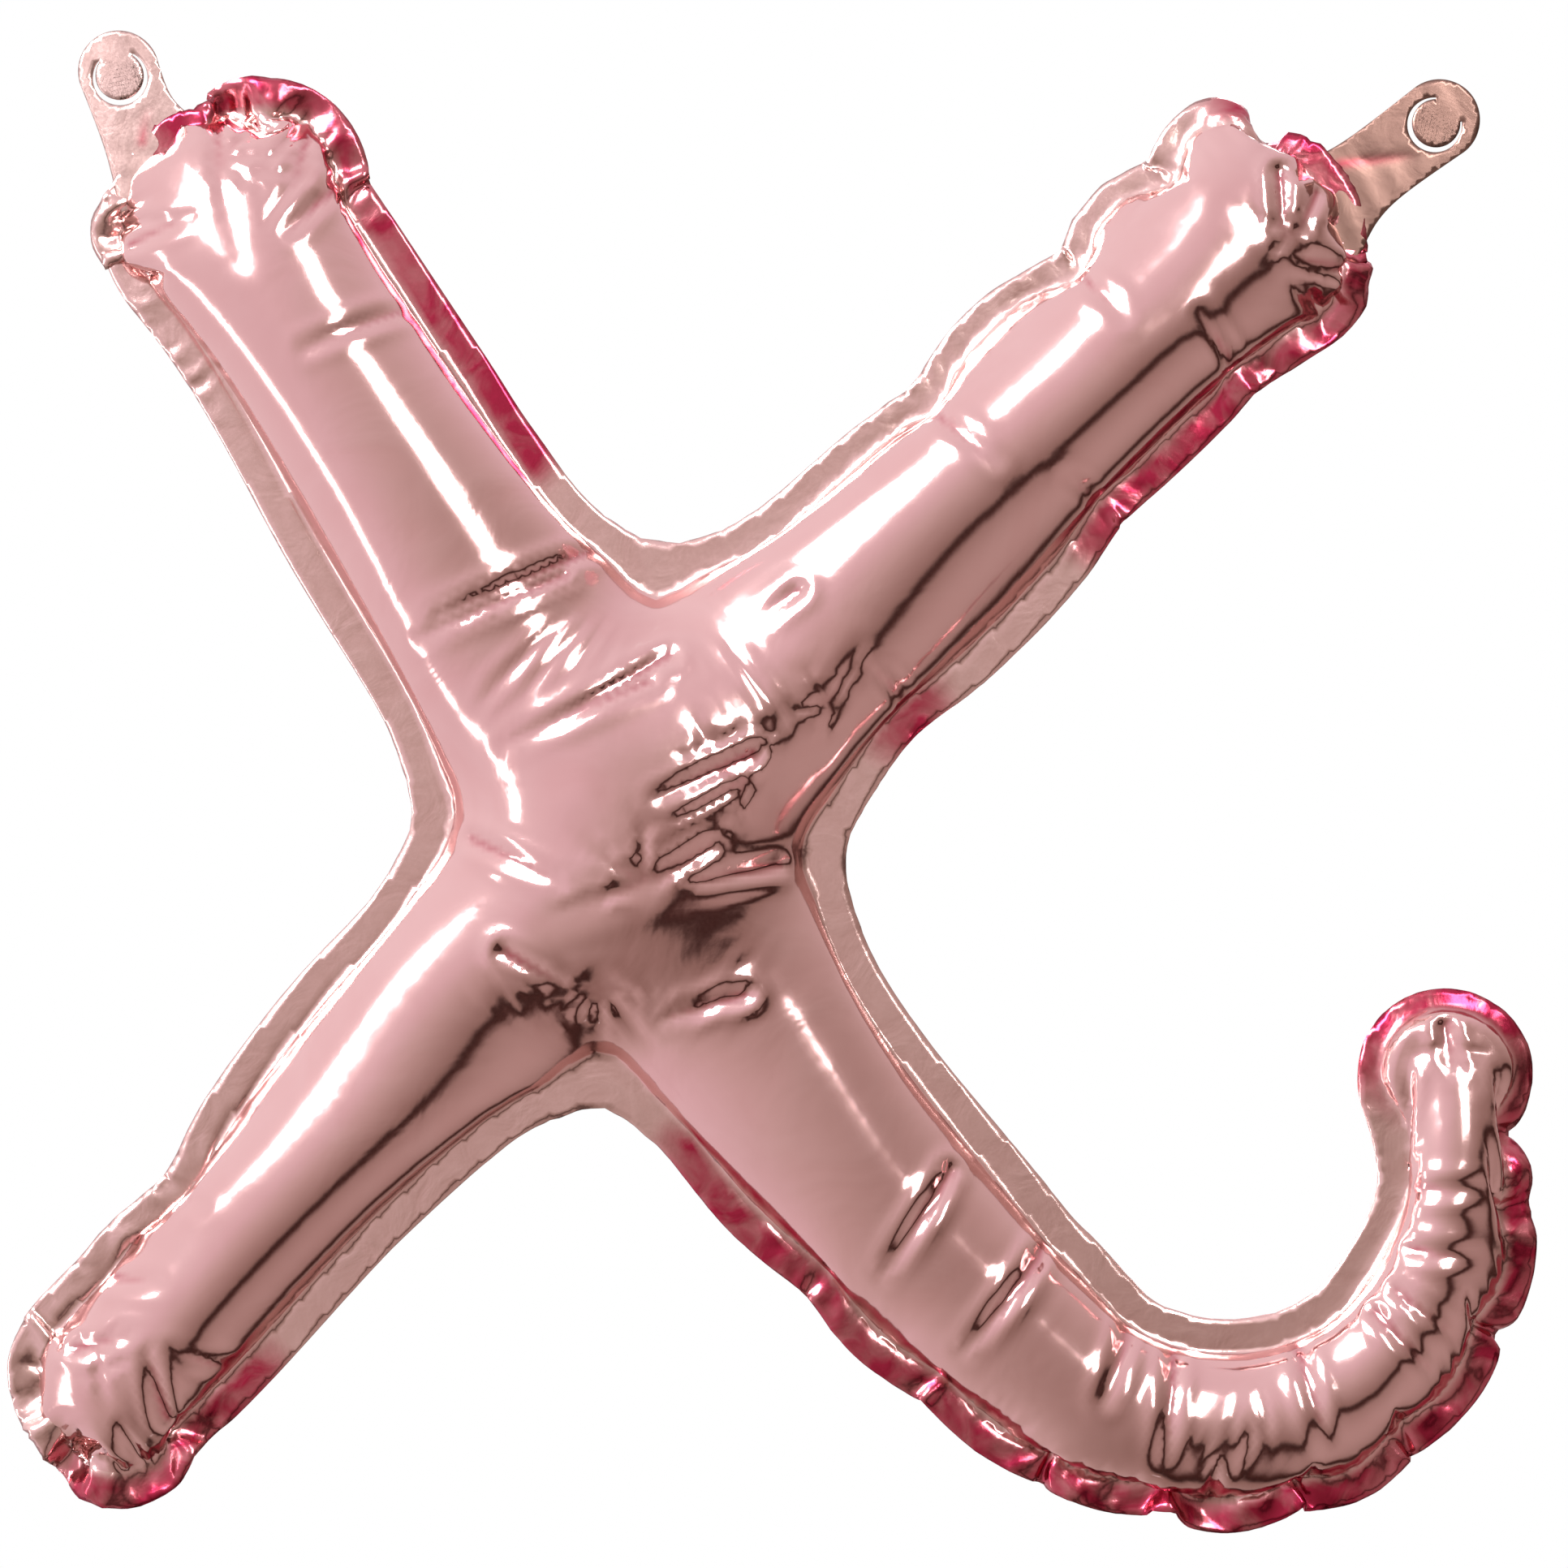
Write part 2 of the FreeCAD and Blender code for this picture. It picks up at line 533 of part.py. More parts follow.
def make_valve_film(doc, name, side):
    """A loose film of the valve inside the letter; side is -1 for the front film and 1 for the back one."""
    body = doc.addObject("PartDesign::Body", name)
    sketch = body_sketch(body, f"{name}_outline")
    half = "valve_width / 2"
    near = "-valve_neck_length - valve_hinge_gap"
    sketch_trapezoid(sketch, half, half, f"{near} - valve_film_length", near)
    bind(sketch, AttachmentOffset__Base__z=f"{-side} * (valve_film + valve_bore) / 2")
    pad_both_ways(body, sketch, f"{name}_pad", "valve_film")
    return fold_place(body, "right")


# ---------------------------------------------------------------- document


def check(doc, nodes):
    """Stops with a message if any object failed or any node has no sound solid of its own."""
    for obj in doc.Objects:
        if "Invalid" in obj.State or "Error" in obj.State:
            raise RuntimeError(f"{obj.Name} did not build: {obj.State}")
    for node in nodes:
        shape = node.Shape
        if shape.isNull() or not shape.isValid():
            raise RuntimeError(f"{node.Label} has no valid shape")
        if len(shape.Solids) != 1 or shape.Volume <= 0:
            raise RuntimeError(f"{node.Label} holds {len(shape.Solids)} solids, volume {shape.Volume}")


def main():
    """Builds the document, checks it and writes one STEP file for each node."""
    doc = FreeCAD.newDocument("letter_balloon")
    sheet = make_sheet(doc)
    nodes = make_panels(doc, sheet)
    for side in ("left", "right"):
        nodes.append(make_tab(doc, side, sheet))
        nodes.append(make_flap(doc, side, sheet))
    nodes.append(make_valve_neck(doc))
    nodes.append(make_valve_film(doc, "valve_front_film", -1))
    nodes.append(make_valve_film(doc, "valve_back_film", 1))
    doc.recompute()
    for node in nodes:
        node.Label = node.Name
    check(doc, nodes)
    os.makedirs("parts", exist_ok=True)
    for node in nodes:
        node.Shape.exportStep(f"parts/{node.Label}.step")
        print(f"{node.Label}: {node.Shape.Volume:.1f} mm3")


main()
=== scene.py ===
"""Rose-gold foil balloon in the shape of a script letter x, hung by two tabs.

The letter's foil is cut flat, sealed round its edge and then blown up: a small foil solver starts from the
flat pattern's edge lengths, pushes air in and lets the film crease where its seam has to gather.
"""

import logging
import math
from dataclasses import dataclass, field
from enum import Enum

import bpy
import numpy as np
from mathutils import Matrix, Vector
from mathutils.geometry import delaunay_2d_cdt


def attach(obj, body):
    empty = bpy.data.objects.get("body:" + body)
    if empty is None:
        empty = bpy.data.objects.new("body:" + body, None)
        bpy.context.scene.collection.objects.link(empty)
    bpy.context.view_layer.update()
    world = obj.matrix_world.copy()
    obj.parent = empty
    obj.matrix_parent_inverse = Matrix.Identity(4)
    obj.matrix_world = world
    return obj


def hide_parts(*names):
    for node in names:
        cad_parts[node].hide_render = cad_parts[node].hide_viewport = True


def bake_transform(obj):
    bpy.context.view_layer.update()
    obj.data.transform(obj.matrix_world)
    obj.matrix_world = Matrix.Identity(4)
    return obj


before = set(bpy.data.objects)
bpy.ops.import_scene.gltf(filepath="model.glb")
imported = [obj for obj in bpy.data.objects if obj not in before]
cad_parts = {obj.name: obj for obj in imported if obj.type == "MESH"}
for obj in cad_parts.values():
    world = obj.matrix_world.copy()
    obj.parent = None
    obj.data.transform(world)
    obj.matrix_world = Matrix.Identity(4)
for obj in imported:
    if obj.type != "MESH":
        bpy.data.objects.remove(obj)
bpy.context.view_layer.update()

log = logging.getLogger("letter_balloon")
logging.basicConfig(level=logging.INFO, format="%(message)s")

MM = 0.001
Array = np.ndarray


# ---------------------------------------------------------------- the letter's strokes


@dataclass(frozen=True)
class Stroke:
    """One stroke of the letter: points of its centreline in the XZ plane and a tube radius at each."""

    name: str
    points: Array
    radii: Array

    def nearest(self, at: Array) -> tuple[Array, Array, Array]:
        """Finds the centreline point that each place belongs to.

        The place belongs to the sample with the least distance minus radius, which is also the nearest
        part of a tapered tube's edge.

        Args:
            at: places, one row of x and z each.

        Returns:
            The sample's index, the vector from it to the place, and that vector's length.
        """
        best = np.zeros(len(at), int)
        score = np.full(len(at), np.inf)
        for first in range(0, len(self.points), 64):
            offsets = at[:, None, :] - self.points[None, first:first + 64, :]
            value = np.hypot(offsets[..., 0], offsets[..., 1]) - self.radii[None, first:first + 64] * 1.35
            index = value.argmin(1)
            least = value[np.arange(len(at)), index]
            nearer = least < score
            best[nearer] = index[nearer] + first
            score[nearer] = least[nearer]
        away = at - self.points[best]
        return best, away, np.hypot(away[:, 0], away[:, 1])


@dataclass(frozen=True)
class Letter:
    """Sizes of the letter in millimetres, the same as the construction's, and its four strokes."""

    crossing: tuple[float, float] = (119.5, -177.0)
    root_radius: float = 24.0
    upper_left: tuple[float, float, float] = (168.0, 123.1, 22.5)
    upper_right: tuple[float, float, float] = (202.5, 43.4, 19.5)
    lower_left: tuple[float, float, float] = (180.0, 228.0, 14.5)
    tail_angle: float = 303.1
    tail_run: float = 56.5
    sweep: tuple[float, float] = (375.0, 16.5)
    hook: tuple[float, float] = (57.0, 136.0)
    tip_run: float = 17.0
    tail_radius: float = 10.5
    margin: float = 8.6
    sample: float = 1.0

    def straight(self, name: str, size: tuple[float, float, float]) -> Stroke:
        """A straight stroke from the crossing, whose radius falls evenly to its end."""
        length, angle, radius = size
        run = np.arange(0.0, length + self.sample / 2, self.sample)
        way = np.array([math.cos(math.radians(angle)), math.sin(math.radians(angle))])
        radii = self.root_radius + (radius - self.root_radius) * run / length
        return Stroke(name, np.array(self.crossing) + run[:, None] * way, radii)

    def tail(self) -> Stroke:
        """The tail: its heading is constant, then grows at 1/R in each bend, and is summed along the run."""
        ends = np.cumsum([
            self.tail_run,
            self.sweep[0] * math.radians(self.sweep[1]),
            self.hook[0] * math.radians(self.hook[1]),
            self.tip_run,
        ])
        run = np.arange(0.0, ends[-1], self.sample)
        bend = np.where(run < ends[0], 0.0, np.where(run < ends[1], 1 / self.sweep[0], 1 / self.hook[0]))
        bend = np.where(run < ends[2], bend, 0.0)
        heading = math.radians(self.tail_angle) + np.concatenate([[0.0], np.cumsum(bend[:-1]) * self.sample])
        steps = np.column_stack([np.cos(heading), np.sin(heading)]) * self.sample
        points = np.array(self.crossing) + np.concatenate([np.zeros((1, 2)), np.cumsum(steps[:-1], axis=0)])
        radii = self.root_radius + (self.tail_radius - self.root_radius) * run / ends[-1]
        return Stroke("tail", points, radii)

    def strokes(self) -> list[Stroke]:
        """All four strokes, in the order in which the outline meets them, clockwise from the upper left."""
        return [
            self.straight("upper_left", self.upper_left),
            self.straight("upper_right", self.upper_right),
            self.tail(),
            self.straight("lower_left", self.lower_left),
        ]


# ---------------------------------------------------------------- flat pattern


@dataclass
class Pattern:
    """The foil as it is cut: a triangle mesh of the flat letter, with its seam and its margin.

    A tube of radius r is sewn from two strips of half width pi/2 times r, so the pattern is that much wider
    than the blown-up letter.
    """

    letter: Letter
    spacing: float = 3.0
    widening: float = math.pi / 2
    crotch: float = 3.5
    strokes: list[Stroke] = field(default_factory=list)

    def __post_init__(self) -> None:
        """Takes the letter's strokes."""
        self.strokes = self.letter.strokes()

    def depth(self, at: Array) -> Array:
        """Distance outside the seam, negative inside: a soft minimum of each stroke's own distance.

        The soft minimum rounds the corners where two strokes part.
        """
        total = np.zeros(len(at))
        for stroke in self.strokes:
            index, _, away = stroke.nearest(at)
            total += np.exp(-(away - self.widening * stroke.radii[index]) / self.crotch)
        return -self.crotch * np.log(np.maximum(total, 1e-300))

    def contour(self, level: float) -> Array:
        """A closed curve where depth equals level, as evenly spaced points, anticlockwise or clockwise.

        The sides and round ends of the strokes are laid out in order, points inside another stroke are
        dropped, and the rest is slid along the gradient onto the level.
        """
        sides = []
        for stroke in self.strokes:
            tangent = np.gradient(stroke.points, axis=0)
            tangent /= np.linalg.norm(tangent, axis=1)[:, None]
            normal = np.column_stack([-tangent[:, 1], tangent[:, 0]])
            reach = (self.widening * stroke.radii + level)[:, None]
            out = stroke.points + normal * reach
            back = (stroke.points - normal * reach)[::-1]
            heading = math.atan2(tangent[-1, 1], tangent[-1, 0])
            turn = heading + np.linspace(math.pi / 2, -math.pi / 2, 60)[1:-1]
            cap = stroke.points[-1] + reach[-1] * np.column_stack([np.cos(turn), np.sin(turn)])
            sides.append((stroke, back, cap, out))
        loop = []
        for stroke, back, cap, out in sides:
            for run in (out, cap, back):
                keep = np.ones(len(run), bool)
                for other in self.strokes:
                    if other is not stroke:
                        index, _, away = other.nearest(run)
                        keep &= away - self.widening * other.radii[index] > level + 0.5
                loop.append(run[keep])
        curve = self.even(np.concatenate(loop))
        for _ in range(12):
            curve = self.even(self.slide(curve, level))
        return curve

    def slide(self, at: Array, level: float) -> Array:
        """Moves places along the depth's gradient by what depth lacks of the level."""
        step = 0.25
        dx = (self.depth(at + [step, 0]) - self.depth(at - [step, 0])) / (2 * step)
        dz = (self.depth(at + [0, step]) - self.depth(at - [0, step])) / (2 * step)
        slope = np.maximum(dx * dx + dz * dz, 0.2)
        lack = (level - self.depth(at)) / slope
        return at + np.column_stack([dx, dz]) * np.clip(lack, -6, 6)[:, None]

    def even(self, curve: Array) -> Array:
        """Spaces a closed curve's points evenly along it."""
        closed = np.concatenate([curve, curve[:1]])
        run = np.concatenate([[0.0], np.cumsum(np.linalg.norm(np.diff(closed, axis=0), axis=1))])
        count = int(round(run[-1] / self.spacing))
        at = np.linspace(0, run[-1], count, endpoint=False)
        return np.column_stack([np.interp(at, run, closed[:, 0]), np.interp(at, run, closed[:, 1])])

    def mesh(self) -> tuple[Array, Array, Array]:
        """Triangulates the flat letter.

        Rows of points, each row half a step along, fill it; the seam and the rim are edges of the mesh.

        Returns:
            Points, triangles, and each point's depth, which is exactly 0 on the seam.
        """
        seam = self.contour(0.0)
        rim = self.contour(self.letter.margin)
        low = rim.min(0) - self.spacing
        high = rim.max(0) + self.spacing
        rise = self.spacing * math.sqrt(3) / 2
        rows = np.arange(low[1], high[1], rise)
        columns = np.arange(low[0], high[0], self.spacing)
        x, z = np.meshgrid(columns, rows)
        x = x + (np.arange(len(rows)) % 2)[:, None] * self.spacing / 2
        fill = np.column_stack([x.ravel(), z.ravel()])
        deep = self.depth(fill)
        near = 0.62 * self.spacing
        fill = fill[(deep < self.letter.margin - near) & (np.abs(deep) > near)]
        points = np.concatenate([seam, rim, fill])
        loops = [(0, len(seam)), (len(seam), len(rim))]
        edges = [(start + i, start + (i + 1) % count) for start, count in loops for i in range(count)]
        found = delaunay_2d_cdt([Vector(p) for p in points], edges, [], 0, 1e-5)
        at = np.array([tuple(v) for v in found[0]])
        corners = np.array([f for f in found[2] if len(f) == 3])
        deep = self.depth(at)
        origin = found[3]
        on_seam = np.array([any(o < len(seam) for o in group) for group in origin])
        deep[on_seam] = 0.0
        middle = at[corners].mean(1)
        inside = self.depth(middle) < self.letter.margin
        corners = corners[inside]
        area = np.cross(at[corners[:, 1]] - at[corners[:, 0]], at[corners[:, 2]] - at[corners[:, 0]])
        corners = np.where((area > 0)[:, None], corners, corners[:, ::-1])
        used = np.unique(corners)
        number = np.full(len(at), -1)
        number[used] = np.arange(len(used))
        return at[used], number[corners], deep[used]


# ---------------------------------------------------------------- blowing the foil up


class Margin(Enum):
    """How the sealed margin lies beside a pleat: flat in the letter's plane, or turned to the back."""

    FLAT = 0.0
    TURNED = 1.0


@dataclass(frozen=True)
class Pleat:
    """A place where the seam is drawn in, or bulges out where the pull is negative; sizes in millimetres."""

    x: float
    z: float
    pull: float
    margin: Margin = Margin.TURNED
    width: float = 4.5


@dataclass(frozen=True)
class Crease:
    """A straight dent that runs from the seam into both sheets; sizes in millimetres."""

    start: tuple[float, float]
    end: tuple[float, float]
    depth: float
    width: float = 2.0


@dataclass(frozen=True)
class Star:
    """Creases that run together in one point, where the foil breaks into facets; sizes in millimetres."""

    x: float
    z: float
    radius: float
    first_turn: float
    last_turn: float
    count: int
    depth: float = 0.9
    width: float = 2.2

    def lines(self) -> list[Crease]:
        """The creases, from the middle outwards, at even turns and of uneven length."""
        made = []
        for number in range(self.count):
            turn = math.radians(self.first_turn + (self.last_turn - self.first_turn) * number / (self.count - 1))
            reach = self.radius * (0.75 + 0.25 * math.cos(2.4 * number))
            end = (self.x + reach * math.cos(turn), self.z + reach * math.sin(turn))
            made.append(Crease((self.x, self.z), end, self.depth, self.width))
        return made


PLEATS = (
    # Upper left end, from its left side over the top.
    Pleat(0.4, -42.0, 1.7, Margin.FLAT), Pleat(22.5, -5.0, 2.5), Pleat(45.5, -8.0, 5.0), Pleat(54.5, -24.0, 2.5),
    Pleat(20.0, -70.0, 0.0, Margin.FLAT), Pleat(88.0, -84.0, 0.6),
    # Upper right arm: its upper side, its end, its lower side.
    Pleat(192.0, -77.0, 4.5, Margin.FLAT, 3.6), Pleat(225.0, -43.0, 5.0, Margin.FLAT, 3.6),
    Pleat(247.1, -23.0, 6.0, Margin.FLAT, 3.6),
    Pleat(273.0, -20.0, 2.5), Pleat(295.0, -44.0, 2.2), Pleat(263.4, -69.0, 2.5), Pleat(234.6, -104.4, 2.2),
    Pleat(186.5, -151.0, 1.7),
    # Lower left arm and its end.
    Pleat(38.0, -225.0, 0.0, Margin.FLAT), Pleat(6.1, -260.0, 4.5, Margin.FLAT, 3.6),
    Pleat(-8.5, -283.0, 5.5, Margin.FLAT, 3.6),
    Pleat(-14.5, -298.0, 2.2, Margin.FLAT), Pleat(11.9, -320.0, 3.3), Pleat(60.0, -277.0, 0.0, Margin.FLAT),
    # Tail, outer side.
    Pleat(136.0, -250.0, 0.8), Pleat(163.6, -288.0, 1.9), Pleat(189.5, -310.0, 2.5), Pleat(219.3, -328.0, 2.5),
    Pleat(247.0, -336.0, 2.8), Pleat(278.8, -335.5, 2.8), Pleat(305.7, -325.0, 2.8), Pleat(323.5, -296.4, 2.5),
    Pleat(328.5, -269.6, 2.5), Pleat(327.0, -247.5, 2.5), Pleat(313.3, -219.0, 2.2),
    # Tail, inner side.
    Pleat(175.0, -225.0, 0.0, Margin.FLAT), Pleat(219.3, -275.3, 1.7, Margin.FLAT),
    Pleat(241.0, -287.0, 1.7, Margin.FLAT),
    Pleat(286.5, -294.0, 1.7, Margin.FLAT), Pleat(304.0, -262.0, 1.7, Margin.FLAT),
    # The four corners between the arms, where the margin stays flat: top, right, bottom, left.
    *(Pleat(x, z, 0.0, Margin.FLAT) for x, z in (
        (112.0, -108.0), (133.0, -121.0), (150.0, -114.0), (222.0, -124.0), (205.0, -142.0), (176.0, -172.0),
        (169.0, -190.0), (98.0, -242.0), (114.0, -236.0), (126.0, -242.0), (75.0, -166.0), (60.0, -140.0),
    )),
)

STARS = (
    Star(24.0, -20.0, 26.0, -75.0, 35.0, 4, 0.8, 3.2), Star(44.0, -24.0, 16.0, 60.0, 300.0, 5, 0.7, 2.8),
    Star(148.0, -166.0, 20.0, 60.0, 260.0, 5, 1.0, 2.6), Star(140.0, -158.0, 14.0, 20.0, 330.0, 4, 0.7, 2.4),
    Star(124.0, -190.0, 26.0, 30.0, 200.0, 4, 0.8, 3.6), Star(276.0, -38.0, 17.0, -60.0, 230.0, 5, 0.7, 3.0),
    Star(-4.0, -302.0, 15.0, -80.0, 130.0, 4, 0.7, 3.0), Star(168.0, -148.0, 14.0, 60.0, 260.0, 4, 0.7, 2.6),
    Star(114.0, -214.0, 22.0, 190.0, 350.0, 5, 0.7, 3.0), Star(314.0, -228.0, 12.0, 200.0, 340.0, 4, 0.8, 2.4),
)

LOBES = (
    # Upper left end, and the arm's left side.
    Pleat(34.0, 1.5, -6.0, width=9.0), Pleat(54.0, -11.0, -6.0, width=7.0), Pleat(-9.0, -29.0, -5.0, width=9.0),
    Pleat(14.0, -75.0, 3.0, width=26.0),
    # Upper right arm.
    Pleat(207.0, -57.0, -3.0, width=12.0), Pleat(234.0, -28.0, -5.5, width=9.0), Pleat(259.0, -11.0, -6.0, width=8.0),
    Pleat(300.0, -52.0, -4.0, width=8.0), Pleat(249.0, -90.0, 1.5, width=14.0), Pleat(215.0, -134.0, -2.0, width=16.0),
    Pleat(281.0, -13.0, 2.0, width=6.0),
    # Lower left arm.
    Pleat(29.0, -221.0, -4.5, width=22.0), Pleat(-7.0, -270.0, -5.0, width=9.0), Pleat(-20.0, -290.0, -6.0, width=7.0),
    Pleat(-22.0, -316.0, 2.5, width=9.0), Pleat(8.0, -340.0, -3.0, width=8.0), Pleat(62.0, -270.0, 2.5, width=32.0),
    # Tail.
    Pleat(134.0, -262.0, -3.5, width=18.0), Pleat(176.0, -302.0, -2.0, width=10.0),
    Pleat(222.0, -262.0, -2.5, width=36.0),
    Pleat(238.0, -337.0, 2.5, width=9.0), Pleat(300.0, -332.0, -1.5, width=9.0), Pleat(298.0, -250.0, 2.5, width=16.0),
    Pleat(336.0, -250.0, 2.0, width=14.0), Pleat(302.0, -213.0, -7.0, width=8.0), Pleat(324.0, -213.0, -7.0, width=9.0),
)

CREASES = (
    # Upper left arm and its end.
    Crease((72, -54), (46, -66), 1.3), Crease((112, -112), (76, -128), 1.6), Crease((106, -118), (72, -133), 1.3),
    Crease((130, -137), (98, -156), 1.6), Crease((126, -143), (92, -158), 1.2), Crease((54, -24), (42, -38), 2.0),
    Crease((45, -12), (42, -30), 1.6), Crease((23, -10), (26, -26), 1.6), Crease((3, -40), (20, -34), 1.4),
    # Crossing.
    Crease((84, -180), (106, -190), 1.6), Crease((150, -160), (128, -170), 2.2), Crease((156, -186), (134, -190), 1.8),
    Crease((140, -182), (124, -192), 1.3), Crease((92, -206), (106, -214), 1.8), Crease((148, -216), (128, -222), 1.8),
    # Upper right arm.
    Crease((160, -122), (152, -128), 1.4), Crease((192, -80), (206, -92), 1.4), Crease((225, -46), (236, -58), 1.4),
    Crease((262, -68), (254, -58), 1.6), Crease((233, -102), (224, -96), 1.6), Crease((186, -148), (178, -140), 1.6),
    Crease((273, -24), (274, -42), 2.0), Crease((292, -46), (276, -44), 2.0), Crease((282, -28), (276, -42), 1.6),
    # Lower left arm.
    Crease((8, -260), (20, -266), 1.4), Crease((-4, -283), (10, -284), 1.6), Crease((-10, -300), (4, -296), 1.6),
    Crease((12, -316), (8, -300), 2.0), Crease((30, -306), (14, -300), 1.6),
    # Tail, from the inner side.
    Crease((196, -258), (182, -278), 1.8), Crease((194, -262), (180, -282), 1.2), Crease((219, -275), (202, -296), 2.0),
    Crease((217, -279), (199, -300), 1.3), Crease((241, -288), (232, -311), 2.0), Crease((250, -291), (246, -325), 2.0),
    Crease((277, -296), (284, -322), 1.8), Crease((296, -291), (310, -306), 1.8), Crease((301, -286), (316, -298), 1.4),
    Crease((304, -276), (318, -278), 1.5), Crease((306, -262), (320, -262), 1.4), Crease((313, -222), (314, -234), 2.2),
)


@dataclass
class Foil:
    """The sealed letter as particles and edges, and the solver that blows it up.

    Front particles come first, one for each point of the pattern. Points inside the seam have a second
    particle in the back sheet; seam and margin are one layer. Every edge keeps its flat length, because
    foil doesn't stretch, and a weaker rule between the two points opposite an edge keeps it from folding
    sharply. Air pushes each triangle along its normal.

    The numbers at the end are given here; lengths are in millimetres, and the shares are for one step.
    - Within root_hold of a tab's root the margin is drawn to its flat place by the share root_pull, and keeps
      the share root_rise of its height. At the end it is pressed flat up to root_flat, fading over root_fade.
    - A particle keeps the share damping of its last move.
    - Elsewhere the margin keeps the share flat_rise of its height. Where it is turned to the back it keeps
      turn_rise more and moves back by turn_pull.
    - The seam's place lies seam_ease outside its line. It is not held where the next stroke is nearer than
      loose_to, and is held fully from firm_over beyond that.
    """

    pattern: Pattern
    flat: Array
    corners: Array
    depth: Array
    places: Array = field(default_factory=lambda: np.empty((0, 3)))
    triangles: Array = field(default_factory=lambda: np.empty((0, 3), int))
    sheet: Array = field(default_factory=lambda: np.empty(0, int))
    # Each particle's share of the painted reflection, a deep red mixed into the foil's colour where foil would mirror
    # foil.
    tone: Array = field(default_factory=lambda: np.empty(0))
    flat_edge: float = 3.0
    stiff_reach: float = 11.0
    tab_roots: tuple[tuple[float, float], ...] = ((4.5, -11.8), (292.1, -24.6))
    root_hold: float = 18.0
    root_flat: float = 12.5
    root_fade: float = 6.0
    root_pull: float = 0.3
    root_rise: float = 0.7
    damping: float = 0.93
    flat_rise: float = 0.9
    turn_rise: float = 0.07
    turn_pull: float = 0.006
    seam_ease: float = 1.5
    loose_to: float = 12.0
    firm_over: float = 25.0

    def __post_init__(self) -> None:
        """Doubles the inside of the seam into a back sheet and sets the starting shape."""
        count = len(self.flat)
        inner = np.flatnonzero(self.depth < 0)
        back_number = np.arange(count)
        back_number[inner] = count + np.arange(len(inner))
        pouch = (self.depth[self.corners] <= 0).all(1)
        front = self.corners[pouch]
        back = back_number[front][:, ::-1]
        rim = self.corners[~pouch]
        self.triangles = np.concatenate([front, back, rim])
        self.sheet = np.repeat([0, 1, 2], [len(front), len(back), len(rim)])
        source = np.concatenate([np.arange(count), inner])
        side = np.ones(len(source))
        side[count:] = -1.0
        goal, height = self.blown(self.flat)
        self.places = np.column_stack([goal[source, 0], -side * height[source], goal[source, 1]])
        self.flat = self.flat[source]

    def blown(self, at: Array) -> tuple[Array, Array]:
        """Where a place of the flat pattern comes to lie if each stroke blows up to a plain tube.

        In a tube of radius r a place u from the centreline moves to r sin(u / r) from it, and rises by
        r cos(u / r); outside the seam it keeps its distance from the seam. Strokes are mixed by how deep
        the place lies in each.

        Args:
            at: places of the flat pattern, in millimetres.

        Returns:
            The place in the letter's plane and its height above it.
        """
        total = np.zeros(len(at))
        plane = np.zeros((len(at), 2))
        height = np.zeros(len(at))
        for stroke in self.pattern.strokes:
            index, offset, away = stroke.nearest(at)
            radius = stroke.radii[index]
            turn = np.minimum(away / radius, math.pi / 2)
            reach = radius * np.sin(turn) + np.maximum(away - self.pattern.widening * radius, 0)
            unit = offset / np.maximum(away, 1e-6)[:, None]
            weight = np.exp(-(away - self.pattern.widening * radius) / 4.0)
            plane += weight[:, None] * (stroke.points[index] + unit * reach[:, None])
            height += weight * radius * np.cos(turn)
            total += weight
        return plane / total[:, None], height / total

    def edges(self) -> tuple[Array, Array]:
        """All edges of the foil, and for each inner edge the pair of points opposite it."""
        t = self.triangles
        sides = sides_of(t)
        other = np.concatenate([t[:, 2], t[:, 0], t[:, 1]])
        key = np.sort(sides, axis=1)
        code = key[:, 0].astype(np.int64) * len(self.places) + key[:, 1]
        order = np.argsort(code, kind="stable")
        code, key, other = code[order], key[order], other[order]
        first = np.concatenate([[True], code[1:] != code[:-1]])
        starts = np.flatnonzero(first)
        counts = np.diff(np.concatenate([starts, [len(code)]]))
        twice = starts[counts == 2]
        return key[starts], np.column_stack([other[twice], other[twice + 1]])

    @staticmethod
    def groups(pairs: Array, count: int, seed: int) -> list[Array]:
        """Sorts pairs into groups in which no point comes twice, by repeated random choice."""
        random = np.random.default_rng(seed)
        left = np.arange(len(pairs))
        made = []
        while len(left) > 0:
            rank = random.permutation(len(left)).astype(float)
            least = np.full(count, np.inf)
            np.minimum.at(least, pairs[left, 0], rank)
            np.minimum.at(least, pairs[left, 1], rank)
            chosen = (least[pairs[left, 0]] == rank) & (least[pairs[left, 1]] == rank)
            busy = np.zeros(count, bool)
            taken = left[chosen]
            busy[pairs[taken].ravel()] = True
            for _ in range(3):
                rest = left[~np.isin(left, taken, assume_unique=True)]
                free = rest[~(busy[pairs[rest, 0]] | busy[pairs[rest, 1]])]
                if len(free) == 0:
                    break
                rank = random.permutation(len(free)).astype(float)
                least = np.full(count, np.inf)
                np.minimum.at(least, pairs[free, 0], rank)
                np.minimum.at(least, pairs[free, 1], rank)
                more = free[(least[pairs[free, 0]] == rank) & (least[pairs[free, 1]] == rank)]
                busy[pairs[more].ravel()] = True
                taken = np.concatenate([taken, more])
            made.append(taken)
            left = left[~np.isin(left, taken, assume_unique=True)]
        return made

